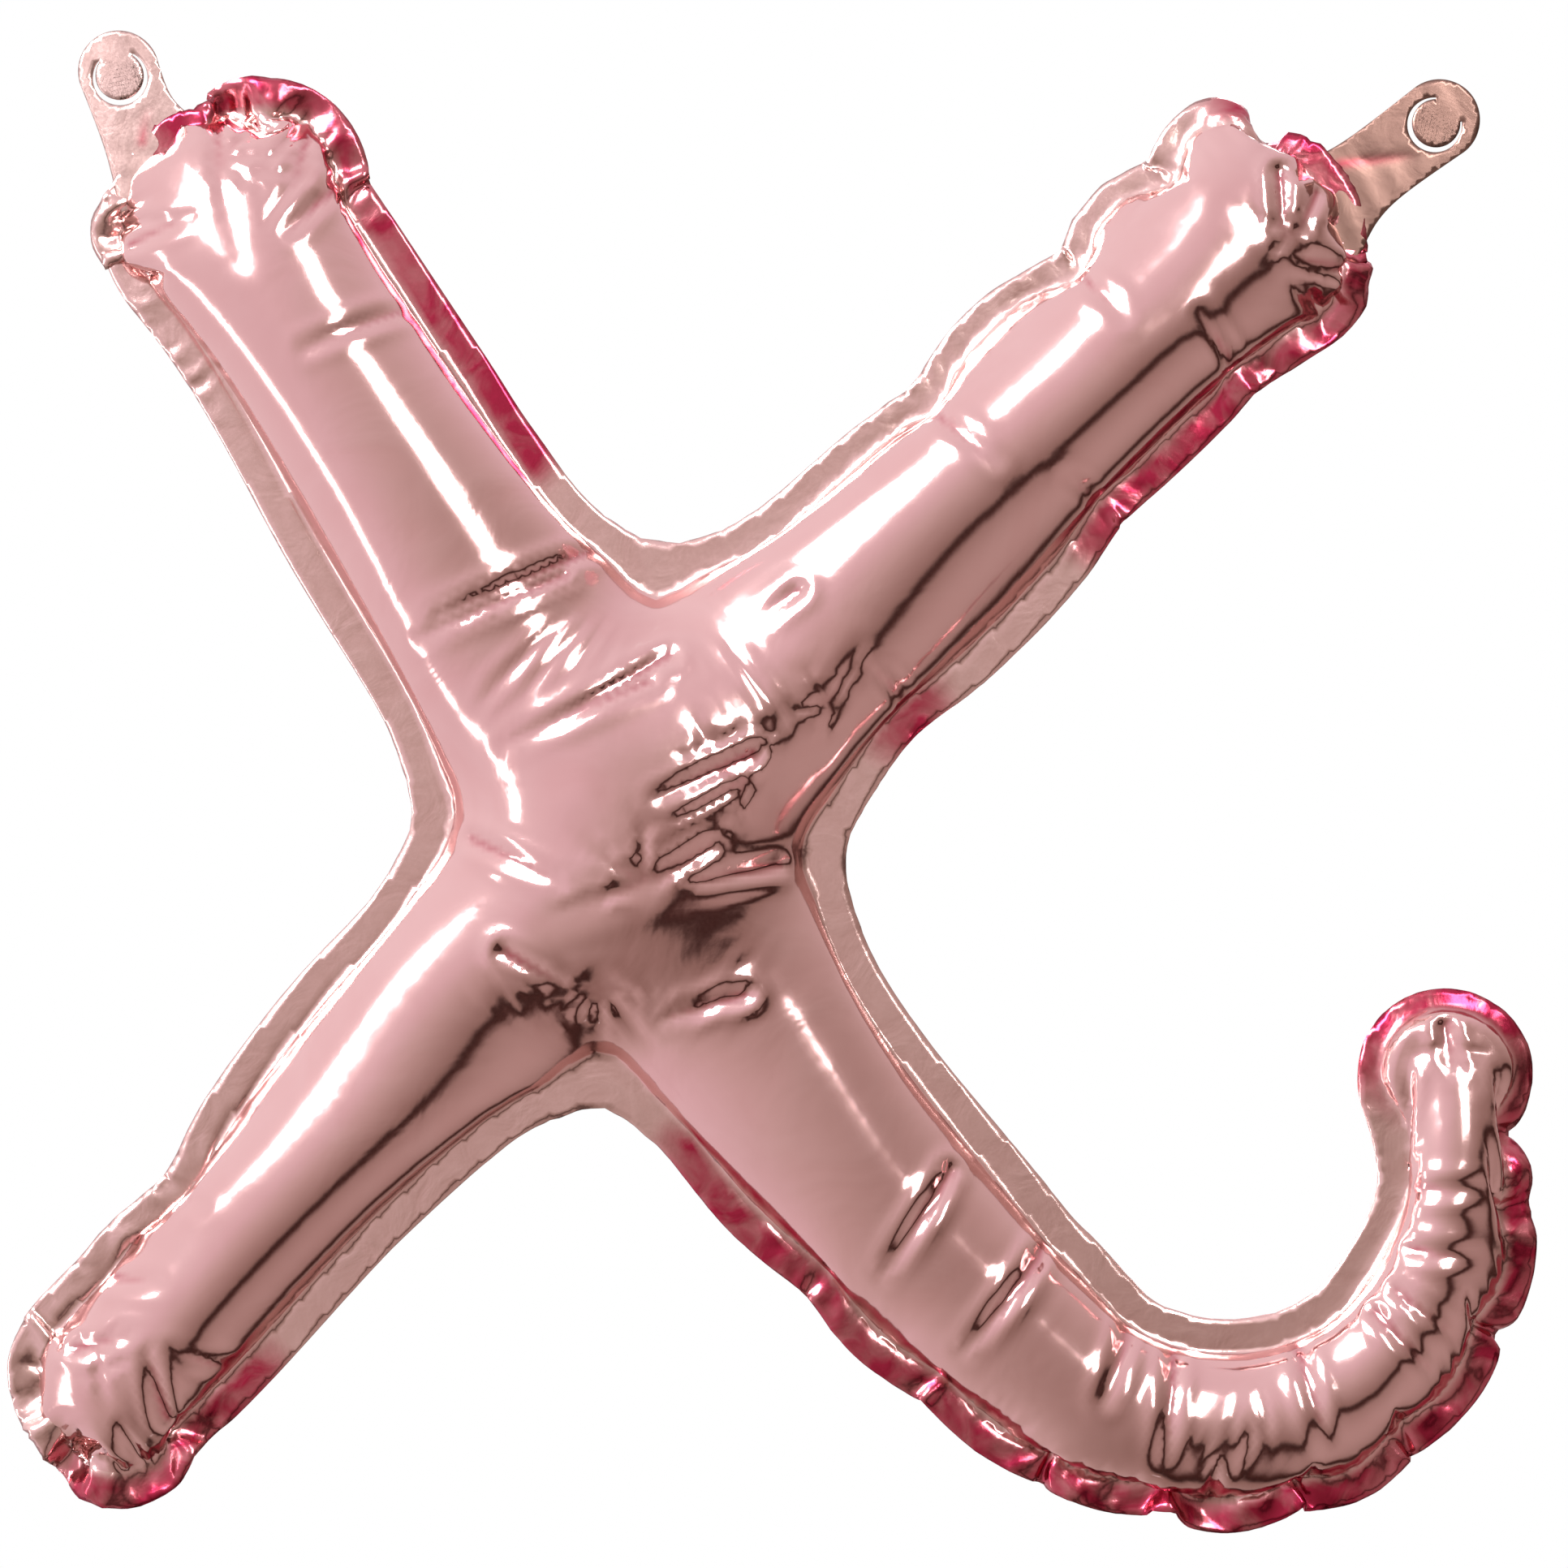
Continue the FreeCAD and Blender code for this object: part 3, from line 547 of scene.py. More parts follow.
    def rules(self, bend: float, slack: float, stiff: float) -> list[tuple[list, float, float]]:
        """The length rules: batches of pairs, with the shares by which too long and too short are corrected.

        Args:
            bend: share for the points opposite an edge, which only keeps them from coming too close.
            slack: share by which a shortened edge of the pouch is corrected.
            stiff: share for the margin's edges and its wider pairs, because the margin is two sealed sheets.

        Returns:
            The wider pairs of the margin, the opposite points, and the edges, which come last.
        """
        edges, opposite = self.edges()
        margin = np.zeros(len(self.places), bool)
        margin[self.triangles[self.sheet == 2].ravel()] = True
        both = margin[edges].all(1)
        wide = self.wide_pairs(np.flatnonzero(margin))
        made = []
        table = ((wide, 0.0, stiff), (opposite[~margin[opposite].all(1)], 0.0, bend),
                 (opposite[margin[opposite].all(1)], 0.0, stiff), (edges[both], 1.0, stiff), (edges[~both], 1.0, slack))
        for seed, (pairs, long_share, short_share) in enumerate(table):
            rest = np.linalg.norm(self.flat[pairs[:, 0]] - self.flat[pairs[:, 1]], axis=1)
            groups = self.groups(pairs, len(self.places), seed)
            made.append(([(pairs[g, 0], pairs[g, 1], rest[g]) for g in groups], long_share / 2, short_share / 2))
        return made

    def wide_pairs(self, rim: Array) -> Array:
        """Pairs of margin points a few edges apart that keep the margin from folding, save at the pleats."""
        rim = rim[:: max(1, round(len(rim) / 3000))]
        at = self.flat[rim]
        first, second = [], []
        for start in range(0, len(rim), 500):
            away = np.linalg.norm(at[start:start + 500, None] - at[None], axis=2)
            one, two = np.nonzero((away > 0.75 * self.stiff_reach) & (away < self.stiff_reach))
            keep = rim[one + start] < rim[two]
            first.append(rim[one + start][keep])
            second.append(rim[two][keep])
        pairs = np.column_stack([np.concatenate(first), np.concatenate(second)])
        middle = (self.blown(self.flat[pairs[:, 0]])[0] + self.blown(self.flat[pairs[:, 1]])[0]) / 2
        pleats = np.array([(pleat.x, pleat.z) for pleat in PLEATS])
        clear = np.linalg.norm(middle[:, None] - pleats[None], axis=2).min(axis=1)
        return pairs[clear > 5.0]

    def blow_up(self, steps: int, push: float, passes: int, bend: float, hold: float, slack: float,
                stiff: float = 0.5) -> None:
        """Lets air in, step by step, and keeps the foil's lengths.

        Each step moves every particle on by its last move, times a damping share, and by the air's push
        along the normals around it; then it corrects each edge towards its flat length. A stretched edge is
        corrected fully and a shortened one in part, because creases too fine for the mesh take up length.

        Args:
            steps: number of steps.
            push: distance in millimetres by which the air moves a particle in one step from rest.
            passes: corrections of all edges in a step.
            bend: share by which a fold is opened in a step.
            hold: share by which the seam is drawn to its place in the letter's plane.
            slack: share by which a shortened edge is corrected.
            stiff: the same share in the margin.
        """
        *loose, first, second = self.rules(bend, slack, stiff)
        rim = np.unique(self.triangles[self.sheet == 2])
        pouch = self.triangles[self.sheet < 2]
        seam = np.intersect1d(rim, pouch)
        goal, strength = self.seam_goal(seam)
        roots = np.array(self.tab_roots)
        near = np.linalg.norm(self.blown(self.flat[rim])[0][:, None] - roots[None], axis=2).min(axis=1)
        held = rim[near < self.root_hold]
        held_goal = self.blown(self.flat[held])[0]
        free = np.setdiff1d(rim, np.concatenate([seam, held]))
        turned = self.margin_turn(free)
        corner_list = pouch.ravel()
        number = np.maximum(np.bincount(corner_list, minlength=len(self.places)), 1)[:, None]
        places = self.places
        last = places.copy()
        for _ in range(steps):
            a, b, c = places[pouch[:, 0]], places[pouch[:, 1]], places[pouch[:, 2]]
            spread = np.repeat(np.cross(b - a, c - a) / self.flat_edge ** 2 / 0.87, 3, axis=0)
            force = np.column_stack([np.bincount(corner_list, spread[:, k], len(places)) for k in range(3)])
            moved = places + self.damping * (places - last) + push * force / number
            last, places = places, moved
            places[seam, ::2] += hold * strength[:, None] * (goal - places[seam, ::2])
            places[held, ::2] += self.root_pull * (held_goal - places[held, ::2])
            places[held, 1] *= self.root_rise
            places[free, 1] = places[free, 1] * (self.flat_rise + self.turn_rise * turned) + self.turn_pull * turned
            for rule in loose:
                self.keep_lengths(places, *rule)
            for _ in range(passes):
                self.keep_lengths(places, *first)
                self.keep_lengths(places, *second)
        self.places = places

    def margin_turn(self, rim: Array) -> Array:
        """For particles of the margin: 1 where it is turned to the back, 0 where it lies flat."""
        at, _ = self.blown(self.flat[rim])
        pleats = np.array([(pleat.x, pleat.z) for pleat in PLEATS])
        nearest = np.linalg.norm(at[:, None] - pleats[None], axis=2).argmin(axis=1)
        return np.array([pleat.margin.value for pleat in PLEATS])[nearest]

    def crease(self) -> None:
        """Dents both sheets along the creases: a valley across each line, with a low ridge on each side."""
        pouch = np.unique(self.triangles[self.sheet < 2])
        rim = np.unique(self.triangles[self.sheet == 2])
        pouch = np.setdiff1d(pouch, rim)
        at = self.places[pouch][:, ::2]
        height = self.places[pouch, 1]
        # Painted reflection: the deep red's share is set on margin turned to the back here, and in the deeper dents
        # below.
        self.tone = self.painted_fold_reflection(rim)
        roots = np.array(self.tab_roots)
        gap = np.linalg.norm(self.places[rim][:, None, ::2] - roots[None], axis=2).min(axis=1)
        self.places[rim, 1] *= np.clip((gap - self.root_flat) / self.root_fade, 0.0, 1.0)
        dent = np.zeros(len(pouch))
        for crease in CREASES + tuple(line for star in STARS for line in star.lines()):
            start, end = np.array(crease.start, float), np.array(crease.end, float)
            line = end - start
            along = np.clip((at - start) @ line / (line @ line), 0.0, 1.0)
            away = np.linalg.norm(at - start - along[:, None] * line, axis=1) / crease.width
            fade = np.clip(1.15 - along, 0.0, 1.0) ** 0.7
            new = crease.depth * fade * (np.exp(-1.3 * away) - 0.5 * np.exp(-((away - 1.9) ** 2) / 0.9))
            dent = np.where(np.abs(new) > np.abs(dent), new, dent)
        soft = np.clip(np.abs(height) / 4.0, 0.0, 1.0)
        self.places[pouch, 1] -= np.sign(height) * dent * soft
        # Painted reflection in the dents: the deeper a dent, the more of the deep red it gets.
        self.tone[pouch] = 0.7 * np.clip(dent - 0.5, 0.0, 1.0) * soft

    def painted_fold_reflection(self, rim: Array) -> Array:
        """For every particle, 0 to 1: how much its foil faces other foil, and so its share of the painted reflection, a
        deep red mixed into its colour.

        It is 1 on margin that is turned to the back, and rises from the seam outwards.
        """
        at = self.places[rim][:, ::2]
        marks = np.array([(pleat.x, pleat.z, pleat.margin.value) for pleat in PLEATS])
        near = np.exp(-(np.linalg.norm(at[:, None] - marks[None, :, :2], axis=2) / 9.0) ** 1.0)
        turned = (near * marks[:, 2]).sum(axis=1) / near.sum(axis=1)
        seam = self.places[np.intersect1d(rim, self.triangles[self.sheet < 2])][:, ::2]
        away = np.concatenate([
            np.linalg.norm(at[k:k + 500, None] - seam[None], axis=2).min(axis=1) for k in range(0, len(at), 500)
        ])
        tone = np.zeros(len(self.places))
        tone[rim] = np.clip(2.6 * turned - 0.8, 0.0, 1.0) * np.clip((away - 0.2) / 2.2, 0.0, 1.0)
        return tone

    @staticmethod
    def keep_lengths(places: Array, batches: list, long_share: float, short_share: float) -> None:
        """Moves the two ends of each pair along their line by a share of what its length is off."""
        for one, two, rest in batches:
            line = places[two] - places[one]
            length = np.sqrt(np.einsum("ij,ij->i", line, line))
            off = (length - rest) / np.maximum(length, 1e-9)
            line *= (off * np.where(off > 0, long_share, short_share))[:, None]
            places[one] += line
            places[two] -= line

    def seam_goal(self, seam: Array) -> tuple[Array, Array]:
        """Where the seam should lie in the letter's plane, and how firmly, which is not at all in a crotch.

        At a pleat the goal is drawn in towards the stroke's centreline.
        """
        at = self.flat[seam]
        goal, _ = self.blown(at)
        gaps, inward = [], []
        for stroke in self.pattern.strokes:
            index, offset, away = stroke.nearest(at)
            gaps.append(away - self.pattern.widening * stroke.radii[index])
            inward.append(-offset / np.maximum(away, 1e-6)[:, None])
        gaps = np.array(gaps)
        own = np.array(inward)[gaps.argmin(axis=0), np.arange(len(at))]
        second = np.sort(gaps, axis=0)[1]
        draw = np.zeros(len(at))
        for pleat in PLEATS + LOBES:
            away = np.linalg.norm(goal - (pleat.x, pleat.z), axis=1)
            near = away.min()
            draw += pleat.pull * np.exp(-((away - near) / pleat.width) ** 2)
        firmness = np.clip((second - self.loose_to) / self.firm_over, 0.0, 1.0)
        return goal + own * (draw - self.seam_ease)[:, None], firmness

    def refine(self) -> None:
        """Cuts every triangle in four, with new particles in the middles of the edges."""
        sides = np.sort(sides_of(self.triangles), axis=1)
        code = sides[:, 0].astype(np.int64) * len(self.places) + sides[:, 1]
        _, first, number = np.unique(code, return_index=True, return_inverse=True)
        ends = sides[first]
        middle = len(self.places) + number.reshape(3, -1)
        a, b, c = self.triangles.T
        ab, bc, ca = middle
        quarters = ((a, ab, ca), (ab, b, bc), (ca, bc, c), (ab, bc, ca))
        self.triangles = np.concatenate([np.stack(quarter, axis=1) for quarter in quarters])
        self.sheet = np.tile(self.sheet, 4)
        self.places = np.concatenate([self.places, self.places[ends].mean(axis=1)])
        self.flat = np.concatenate([self.flat, self.flat[ends].mean(axis=1)])
        self.flat_edge /= 2


# ---------------------------------------------------------------- meshes


def sides_of(faces: Array) -> Array:
    """The sides of all triangles as pairs of points: every first side, then every second, then every third."""
    return np.concatenate([faces[:, [0, 1]], faces[:, [1, 2]], faces[:, [2, 0]]])


def set_painted_fold_reflection(thing: bpy.types.Object, tone: Array) -> None:
    """Gives a thickened sheet its share of the painted reflection colour; both copies of a point get the same."""
    attribute = thing.data.attributes.new("painted_fold_reflection", "FLOAT", "POINT")
    attribute.data.foreach_set("value", np.tile(tone, 2).astype(np.float32))


def make_mesh(name: str, places: Array, faces: Array, kinds: Array | None = None) -> bpy.types.Object:
    """Puts a numpy surface, in millimetres, into a smooth-shaded Blender mesh object.

    Args:
        name: name of the piece.
        places: one row of x, y, z for each vertex.
        faces: one row of vertex numbers for each triangle.
        kinds: number of the material slot of each triangle, or None for the first slot.

    Returns:
        The new object, at the origin.
    """
    mesh = bpy.data.meshes.new(name)
    mesh.vertices.add(len(places))
    mesh.vertices.foreach_set("co", (places * MM).astype(np.float32).ravel())
    mesh.loops.add(faces.size)
    mesh.loops.foreach_set("vertex_index", faces.astype(np.int32).ravel())
    mesh.polygons.add(len(faces))
    mesh.polygons.foreach_set("loop_start", np.arange(0, faces.size, 3, dtype=np.int32))
    mesh.polygons.foreach_set("use_smooth", np.ones(len(faces), bool))
    if kinds is not None:
        mesh.polygons.foreach_set("material_index", kinds.astype(np.int32))
    mesh.update(calc_edges=True)
    mesh.validate()
    thing = bpy.data.objects.new(name, mesh)
    bpy.context.scene.collection.objects.link(thing)
    return thing


def normals_of(places: Array, faces: Array) -> Array:
    """Unit normals of the vertices: the area normals of the faces around each, added up."""
    a, b, c = (places[faces[:, k]] for k in range(3))
    face = np.cross(b - a, c - a)
    total = np.column_stack([
        np.bincount(faces.ravel(), np.repeat(face[:, k], 3), len(places)) for k in range(3)
    ])
    return total / np.maximum(np.linalg.norm(total, axis=1), 1e-12)[:, None]


def thicken(places: Array, faces: Array, out: float, into: float) -> tuple[Array, Array]:
    """Makes a sheet a closed solid: a copy of it moved out along its normals, a reversed copy moved in, and a wall.

    Args:
        places: the sheet's vertices.
        faces: its triangles.
        out: distance by which the outer copy is moved along the normals.
        into: distance by which the inner copy is moved against them.

    Returns:
        The solid's vertices and triangles; the outer copy's triangles come first.
    """
    normal = normals_of(places, faces)
    count = len(places)
    sides = sides_of(faces)
    code = sides.min(axis=1).astype(np.int64) * count + sides.max(axis=1)
    _, first, uses = np.unique(code, return_index=True, return_counts=True)
    a, b = sides[first[uses == 1]].T
    wall = np.concatenate([np.column_stack([b, a, a + count]), np.column_stack([b, a + count, b + count])])
    solid = np.concatenate([places + out * normal, places - into * normal])
    return solid, np.concatenate([faces, faces[:, ::-1] + count, wall])


# ---------------------------------------------------------------- the letter


@dataclass
class LetterFoil:
    """The two foil sheets of the letter, sealed together round the seam; sizes in millimetres."""

    film: float = 0.3
    wall: float = 0.12
    spacing: float = 3.0
    steps: int = 400
    fine_steps: int = 100

    def blow(self) -> Foil:
        """Cuts the flat pattern, blows it up, refines it and dents it along its creases."""
        pattern = Pattern(Letter(), spacing=self.spacing)
        foil = Foil(pattern, *pattern.mesh())
        foil.blow_up(self.steps, 0.013, 3, 0.06, 0.6, 0.9)
        foil.refine()
        foil.blow_up(self.fine_steps, 0.007, 3, 0.06, 0.6, 0.9)
        foil.crease()
        return foil

    def build(self) -> list[bpy.types.Object]:
        """Makes the front and the back sheet, each with its half of the margin.

        Margin and seam are moved by one film's thickness along their normal, to the front for the front
        sheet and to the back for the back one, so that the two sheets share no surface. Where the margin is
        crumpled, at the ends of the arms and the tail, the two sheets still cross in small places.
        """
        foil = self.blow()
        rim = foil.triangles[foil.sheet == 2]
        normal = normals_of(foil.places, rim)
        pieces = []
        for name, number, side in (("front_foil", 0, 1.0), ("back_foil", 1, -1.0)):
            pouch = foil.triangles[foil.sheet == number]
            edge = rim if side > 0 else rim[:, ::-1]
            used, faces = np.unique(np.concatenate([pouch, edge]), return_inverse=True)
            places = foil.places[used] + side * self.film * normal[used]
            places, faces = thicken(places, faces.reshape(-1, 3), 0.0, self.wall)
            kinds = np.ones(len(faces), int)
            kinds[:len(pouch)] = 0
            thing = make_mesh(name, places, faces, kinds)
            set_painted_fold_reflection(thing, foil.tone[used])
            pieces.append(thing)
        return pieces


# ---------------------------------------------------------------- hang tabs


@dataclass
class HangTab:
    """A hang tab with its flared root and its die-cut flap; sizes in millimetres, angles in degrees."""

    name: str
    hole: tuple[float, float]
    angle: float
    fold_reach: float
    fold_side: float
    fold_skew: float
    flare: float
    curl: float
    crease: tuple[float, float, float, float]
    tip_radius: float = 9.6
    tip_shift: float = 1.6
    fold_half: float = 10.6
    # The root runs this far in past the fold. Near its end it comes out through the pouch's sheets, and
    # beside the fold the crumpled margin passes through the tab; both show when looked at closely. A
    # shorter root and a pouch settled round the root were tried and cleared neither tab.
    root_depth: float = 14.0
    root_half: float = 15.5
    hole_radius: float = 6.5
    slit: float = 1.3
    flap_shift: float = 0.5
    flap_hinge: float = 4.6
    thickness: float = 0.7
    spacing: float = 1.1

    def axes(self) -> tuple[Array, Array]:
        """The tab's own two axes in the letter's plane: across it, and along it towards its tip."""
        turn = math.radians(self.angle)
        return np.array([math.sin(turn), -math.cos(turn)]), np.array([math.cos(turn), math.sin(turn)])

    def to_letter(self, at: Array) -> Array:
        """From the tab's own plane, with the hole's middle at its origin, to the letter's."""
        across, along = self.axes()
        return np.array(self.hole) + at[:, :1] * across + at[:, 1:] * along

    def fold(self) -> tuple[Array, Array, Array]:
        """The fold's middle, its direction and the direction away from the letter, in the tab's plane."""
        skew = math.radians(self.fold_skew)
        middle = np.array([self.fold_side, -self.fold_reach])
        return middle, np.array([math.cos(skew), math.sin(skew)]), np.array([-math.sin(skew), math.cos(skew)])

    def outline(self) -> Array:
        """The outline, anticlockwise: round tip, sides that sweep in to the fold, and the flared root.

        Each side is a cubic curve: it leaves the tip's circle along its tangent, passes close to the end
        of the fold and runs out to the end of the root.
        """
        middle, along, away = self.fold()
        centre = np.array([0.0, self.tip_shift])
        sides = []
        touches = []
        for hand in (1.0, -1.0):
            corner = middle + hand * along * self.fold_half
            out = corner - centre
            swing = math.acos(self.tip_radius / np.linalg.norm(out))
            turn = math.atan2(out[1], out[0]) + hand * swing
            touch = centre + self.tip_radius * np.array([math.cos(turn), math.sin(turn)])
            touches.append(turn)
            base = middle + hand * along * self.root_half - away * self.root_depth
            t = np.linspace(0.0, 1.0, 24)[:, None]
            waist = corner - hand * along * self.flare
            sides.append((1 - t) ** 3 * touch + 3 * (1 - t) ** 2 * t * waist
                         + 3 * (1 - t) * t ** 2 * waist + t ** 3 * base)
        right, left = touches
        left += 2 * math.pi if left < right else 0.0
        arc = np.linspace(right, left, 40)[:, None]
        tip = centre + self.tip_radius * np.hstack([np.cos(arc), np.sin(arc)])
        return np.concatenate([tip, sides[1][1:], sides[0][::-1][:-1]])

    def slit_outline(self) -> Array:
        """The U-shaped slit, clockwise: the hole's arc outside, the flap's arc inside, open at the hinge."""
        outer, inner = self.hole_radius, self.hole_radius - self.slit + self.flap_shift
        reach = self.flap_hinge + 0.4
        first = math.asin(min(reach / outer, 1.0))
        second = math.asin(min((self.flap_hinge - self.flap_shift) / inner, 1.0))
        a = np.linspace(math.pi - first, 2 * math.pi + first, 48)[:, None]
        b = np.linspace(2 * math.pi + second, math.pi - second, 40)[:, None]
        wide = outer * np.hstack([np.cos(a), np.sin(a)])
        near = inner * np.hstack([np.cos(b), np.sin(b)]) + (0.0, self.flap_shift)
        return np.concatenate([wide, near])

    def height(self, at: Array) -> Array:
        """How far the foil stands out of its plane: a soft curl across, and ripples that fade at the hinges."""
        u, v = at.T
        ripple = np.sin(0.55 * u + 0.32 * v + 1.0) * np.sin(0.21 * u - 0.45 * v) + 0.5 * np.sin(0.9 * v + 0.3 * u)
        fade = np.clip((np.hypot(u, v + 2.0) - 3.0) / 6.0, 0.0, 1.0)
        start, end = np.array(self.crease[:2]), np.array(self.crease[2:])
        along = np.clip((at - start) @ (end - start) / ((end - start) @ (end - start)), 0.0, 1.0)
        away = np.linalg.norm(at - start - along[:, None] * (end - start), axis=1)
        ridge = 0.7 * np.exp(-away / 1.6) * (1 - along) ** 0.5 * np.clip((v + self.fold_reach - 1.5) / 4.0, 0.0, 1.0)
        return self.curl * (0.05 * ripple * fade + (u / self.tip_radius) ** 2 * 0.3 + ridge)

    def build(self) -> list[bpy.types.Object]:
        """Makes the tab with its root as one sheet and the flap as another."""
        border, slit = self.outline(), self.slit_outline()
        places, faces = fill_outline([border, slit], self.spacing)
        tab = self.sheet(f"{self.name}_tab_foil", places, faces)
        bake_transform(tab)
        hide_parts(f"{self.name}_hang_tab")
        inner = self.slit_outline()[48:]
        hinge = np.array([[inner[-1, 0], self.flap_hinge + 1.6], [inner[0, 0], self.flap_hinge + 1.6]])
        places, faces = fill_outline([np.concatenate([inner[::-1], hinge])], self.spacing)
        flap = self.sheet(f"{self.name}_flap_foil", places, faces)
        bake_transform(flap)
        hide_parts(f"{self.name}_tab_flap")
        return [tab, flap]

    def sheet(self, name: str, places: Array, faces: Array) -> bpy.types.Object:
        """A flat mesh of the tab's plane, moved to the letter's and given its ripples, thickness and a painted
        reflection along its crease.
        """
        plane = self.to_letter(places)
        sheet = np.column_stack([plane[:, 0], self.height(places), plane[:, 1]])
        thing = make_mesh(name, *thicken(sheet, faces, self.thickness / 2, self.thickness / 2))
        # Painted reflection: a deep red line along the crease, strongest at its start, mixed in by the finish.
        start, end = np.array(self.crease[:2]), np.array(self.crease[2:])
        along = np.clip((places - start) @ (end - start) / ((end - start) @ (end - start)), 0.0, 1.0)
        away = np.linalg.norm(places - start - along[:, None] * (end - start), axis=1)
        set_painted_fold_reflection(thing, 0.8 * np.exp(-((away / 1.1) ** 2)) * (1 - along))
        return thing


def fill_outline(loops: list[Array], spacing: float) -> tuple[Array, Array]:
    """Fills an outline with an even net of triangles.

    Args:
        loops: the outer border, then the borders of any openings, each as a closed line of points.
        spacing: distance between the points put inside.

    Returns:
        The points and the triangles, anticlockwise.
    """
    border = np.concatenate(loops)
    links, start = [], 0
    for loop in loops:
        number = np.arange(len(loop))
        links.append(np.column_stack([start + number, start + (number + 1) % len(loop)]))
        start += len(loop)
    low, high = border.min(axis=0), border.max(axis=0)
    rows = np.arange(low[1], high[1], spacing * 0.866)
    columns = np.arange(low[0], high[0], spacing)
    grid = np.array(np.meshgrid(columns, rows)).astype(float)
    grid[0] += (np.arange(len(rows)) % 2 * spacing / 2)[:, None]
    inside = grid.reshape(2, -1).T
    inside = inside[is_inside(inside, loops)]
    gap = np.linalg.norm(inside[:, None] - border[None], axis=2).min(axis=1)
    points = np.concatenate([border, inside[gap > 0.55 * spacing]])
    made = delaunay_2d_cdt([Vector(p) for p in points], np.concatenate(links).tolist(), [], 0, 1e-7)
    at = np.array(made[0])
    faces = np.array([f for f in made[2] if len(f) == 3])
    faces = faces[is_inside(at[faces].mean(axis=1), loops)]
    a, b, c = (at[faces[:, k]] for k in range(3))
    turn = (b - a)[:, 0] * (c - a)[:, 1] - (b - a)[:, 1] * (c - a)[:, 0]
    faces[turn < 0] = faces[turn < 0][:, ::-1]
    return at, faces


def is_inside(at: Array, loops: list[Array]) -> Array:
    """True for points inside the first loop and outside the others.

    A ray to the right of such a point crosses an odd number of sides.
    """
    crossings = np.zeros(len(at), int)
    for loop in loops:
        one, two = loop, np.roll(loop, -1, axis=0)
        spans = (one[None, :, 1] > at[:, None, 1]) != (two[None, :, 1] > at[:, None, 1])
        rise = np.where(two[:, 1] == one[:, 1], 1e-12, two[:, 1] - one[:, 1])
        cross = one[None, :, 0] + (at[:, None, 1] - one[None, :, 1]) * (two[:, 0] - one[:, 0])[None] / rise[None]
        crossings += (spans & (cross > at[:, None, 0])).sum(axis=1)
    return crossings % 2 == 1


# ---------------------------------------------------------------- finishes


def add_node(tree: bpy.types.NodeTree, kind: str, inputs: dict | None = None, **options: object) -> bpy.types.Node:
    """Adds a shader node, sets its options, and gives its inputs their values or links.

    Args:
        tree: the tree that gets the node.
        kind: the node's type, without its "ShaderNode".
        inputs: for an input's name or number, its value, or the output that feeds it.
        options: the node's own settings, which are set before its inputs.

    Returns:
        The new node.
    """
    node = tree.nodes.new(f"ShaderNode{kind}")
    for word, value in options.items():
        setattr(node, word, value)
    feed(tree, node, inputs or {})
    return node


def feed(tree: bpy.types.NodeTree, node: bpy.types.Node, inputs: dict) -> None:
    """Gives a node's inputs their values, or links them to the outputs that feed them."""
    for word, value in inputs.items():
        if isinstance(value, bpy.types.NodeSocket):
            tree.links.new(value, node.inputs[word])
        else:
            node.inputs[word].default_value = value


def new_material(name: str) -> tuple[bpy.types.Material, bpy.types.NodeTree]:
    """A material that uses nodes, and its node tree."""
    material = bpy.data.materials.new(name)
    material.use_nodes = True
    return material, material.node_tree


